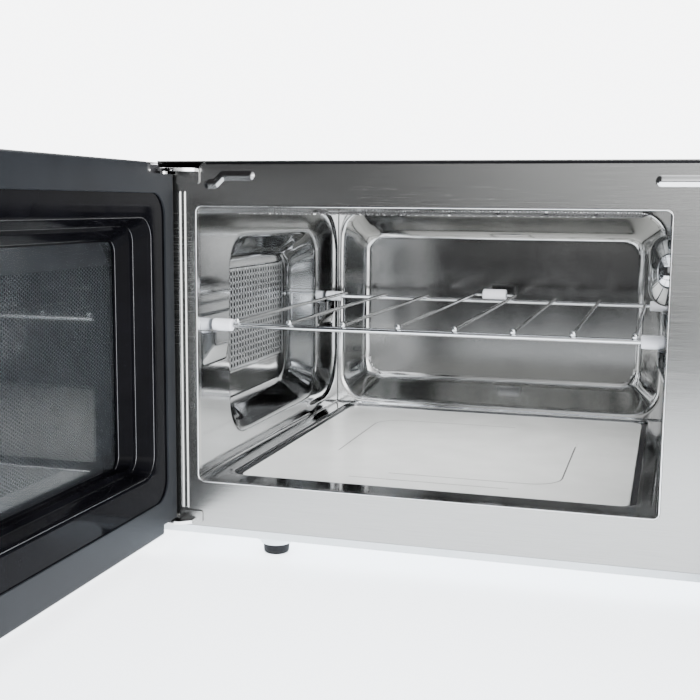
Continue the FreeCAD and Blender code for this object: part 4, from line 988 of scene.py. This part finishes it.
# ---------------------------------------------------------------- carried-over CAD nodes
FINISHES = {
    "casing": ["outer_casing"],
    "zinc": ["rear_panel", "motor_cover", "waveguide", "interlock_bracket", "blower_housing"],
    # Painted shade: the hollows behind the hot-air grid and the grill guard are made near-black.
    "dark_zinc": ["hot_air_duct", "hot_air_chamber", "grill_hood"],
    "cavity": ["cavity_ceiling"],
    "pale": ["base_pan"],
    "motor": ["hot_air_motor", "stirrer_motor", "blower_motor", "magnetron"],
    "plastic": ["cord_gland", "interlock_switches", "blower_wheel", "knob_encoder", "door_latch",
                "pivot_blocks"],
    "sheath": ["grill_element", "ring_heater"],
    "board": ["inverter_board", "control_board"],
    "lamp": ["cavity_lamp"],
    "polish": ["hot_air_fan", "stirrer", "casing_screws"],
}


def finish_cad_nodes():
    for name, nodes in FINISHES.items():
        for node in nodes:
            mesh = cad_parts[node].data
            mesh.materials.clear()
            mesh.materials.append(M[name])
            for face in mesh.polygons:
                face.material_index = 0


# ---------------------------------------------------------------- stage, light and camera
PAPER = (0.955, 0.965, 0.98)
PAPER_SEEN = 7.0  # strength that the camera sees behind the oven
BEHIND = 0.6  # strength of the room behind the oven
DIM = 0.06  # strength of the room's darkest part
FILL = 4.4  # soft light from the right-hand front
WINDOW_SIDE = 6.0  # a tall window on the same side
FLOOR_FRONT = -0.75  # the floor's front edge, in metres
FLOOR_GLOW = 3.3


def stage():
    size = 6.0
    floor = bpy.data.meshes.new("floor")
    corners = [(-size, FLOOR_FRONT, 0), (size, FLOOR_FRONT, 0), (size, size, 0), (-size, size, 0)]
    floor.from_pydata(corners, [], [(0, 1, 2, 3)])
    ground = put("floor", floor)
    material, _, _, shader = new_material("pale_worktop", Roughness=0.45)
    shader.inputs["Base Color"].default_value = (0.62, 0.66, 0.70, 1)
    shader.inputs["Emission Color"].default_value = (0.93, 0.96, 1.0, 1)
    shader.inputs["Emission Strength"].default_value = FLOOR_GLOW
    floor.materials.append(material)
    studio_world()


def studio_world():
    """Plain white paper behind; the room's light is strongest from the right-hand front."""
    world = bpy.data.worlds.new("studio")
    bpy.context.scene.world = world
    world.use_nodes = True
    nodes, links = world.node_tree.nodes, world.node_tree.links
    place = nodes.new("ShaderNodeTexCoord")

    def facing(direction, start, stop, low, high):
        lean = nodes.new("ShaderNodeVectorMath")
        lean.operation = "DOT_PRODUCT"
        lean.inputs[1].default_value = Vector(direction).normalized()
        links.new(place.outputs["Generated"], lean.inputs[0])
        return spread(nodes, links, lean.outputs["Value"], low, high, start, stop)

    def combine(operation, first, second):
        node = nodes.new("ShaderNodeMath")
        node.operation = operation
        links.new(first, node.inputs[0])
        links.new(second, node.inputs[1])
        return node.outputs["Value"]

    fill = combine("MULTIPLY", facing((0.80, -0.58, 0.12), 0.35, 0.97, 0, FILL),
                   facing((0, 0, 1), -0.05, 0.0, 0, 1))
    fill = combine("ADD", fill, facing((0.62, -0.78, 0), 0.85, 0.95, 0, WINDOW_SIDE))
    room = combine("ADD", facing((0, 1, 0.1), 0.0, 0.35, DIM, BEHIND), fill)
    paper = nodes.new("ShaderNodeBackground")
    paper.inputs["Color"].default_value = (*PAPER, 1)
    paper.inputs["Strength"].default_value = PAPER_SEEN
    background = nodes["Background"]
    background.inputs["Color"].default_value = (*PAPER, 1)
    links.new(room, background.inputs["Strength"])
    seen = nodes.new("ShaderNodeLightPath")
    mix = nodes.new("ShaderNodeMixShader")
    links.new(seen.outputs["Is Camera Ray"], mix.inputs["Fac"])
    links.new(background.outputs["Background"], mix.inputs[1])
    links.new(paper.outputs["Background"], mix.inputs[2])
    links.new(mix.outputs["Shader"], nodes["World Output"].inputs["Surface"])


def soft_light(name, place, target, wide, tall, power):
    light = bpy.data.lights.new(name, "AREA")
    light.shape = "RECTANGLE"
    light.size, light.size_y, light.energy = wide, tall, power
    obj = put(name, light)
    obj.location = place
    obj.rotation_euler = (Vector(target) - Vector(place)).to_track_quat("-Z", "Y").to_euler()
    return obj


def camera():
    yaw, pitch, roll = (math.radians(a) for a in (16.3689, 7.5865, 0.4752))
    ahead = Vector((-math.sin(yaw) * math.cos(pitch), math.cos(yaw) * math.cos(pitch), -math.sin(pitch)))
    level = ahead.cross(Vector((0, 0, 1))).normalized()
    upright = level.cross(ahead)
    right = level * math.cos(roll) + upright * math.sin(roll)
    up = upright * math.cos(roll) - level * math.sin(roll)
    lens = bpy.data.cameras.new("camera")
    lens.sensor_width, lens.lens = 36, 56.213
    obj = put("camera", lens)
    turn = Matrix((right, up, -ahead)).transposed().to_4x4()
    obj.matrix_world = Matrix.Translation(here(171.577, -754.199, 210.896)) @ turn
    bpy.context.scene.camera = obj


front_plate()
left_wall()
right_wall()
back_wall()
cavity_floor()
grill_guard()
rack()
hinges()
feet()
door_frame()
top_bracket()
door_ring()
window()
door_panel()
control_panel()
even_normals()
finish_cad_nodes()
stage()
soft_light("top_light", place=(0, 0.7, 1.6), target=(0, 0.2, 0), wide=2.4, tall=1.2, power=110)
inner = soft_light("cavity_light", place=here(0, 160, 198), target=here(0, 160, 0), wide=0.25, tall=0.25,
                   power=1.1)
inner.visible_glossy = False
inner.visible_camera = False
camera()
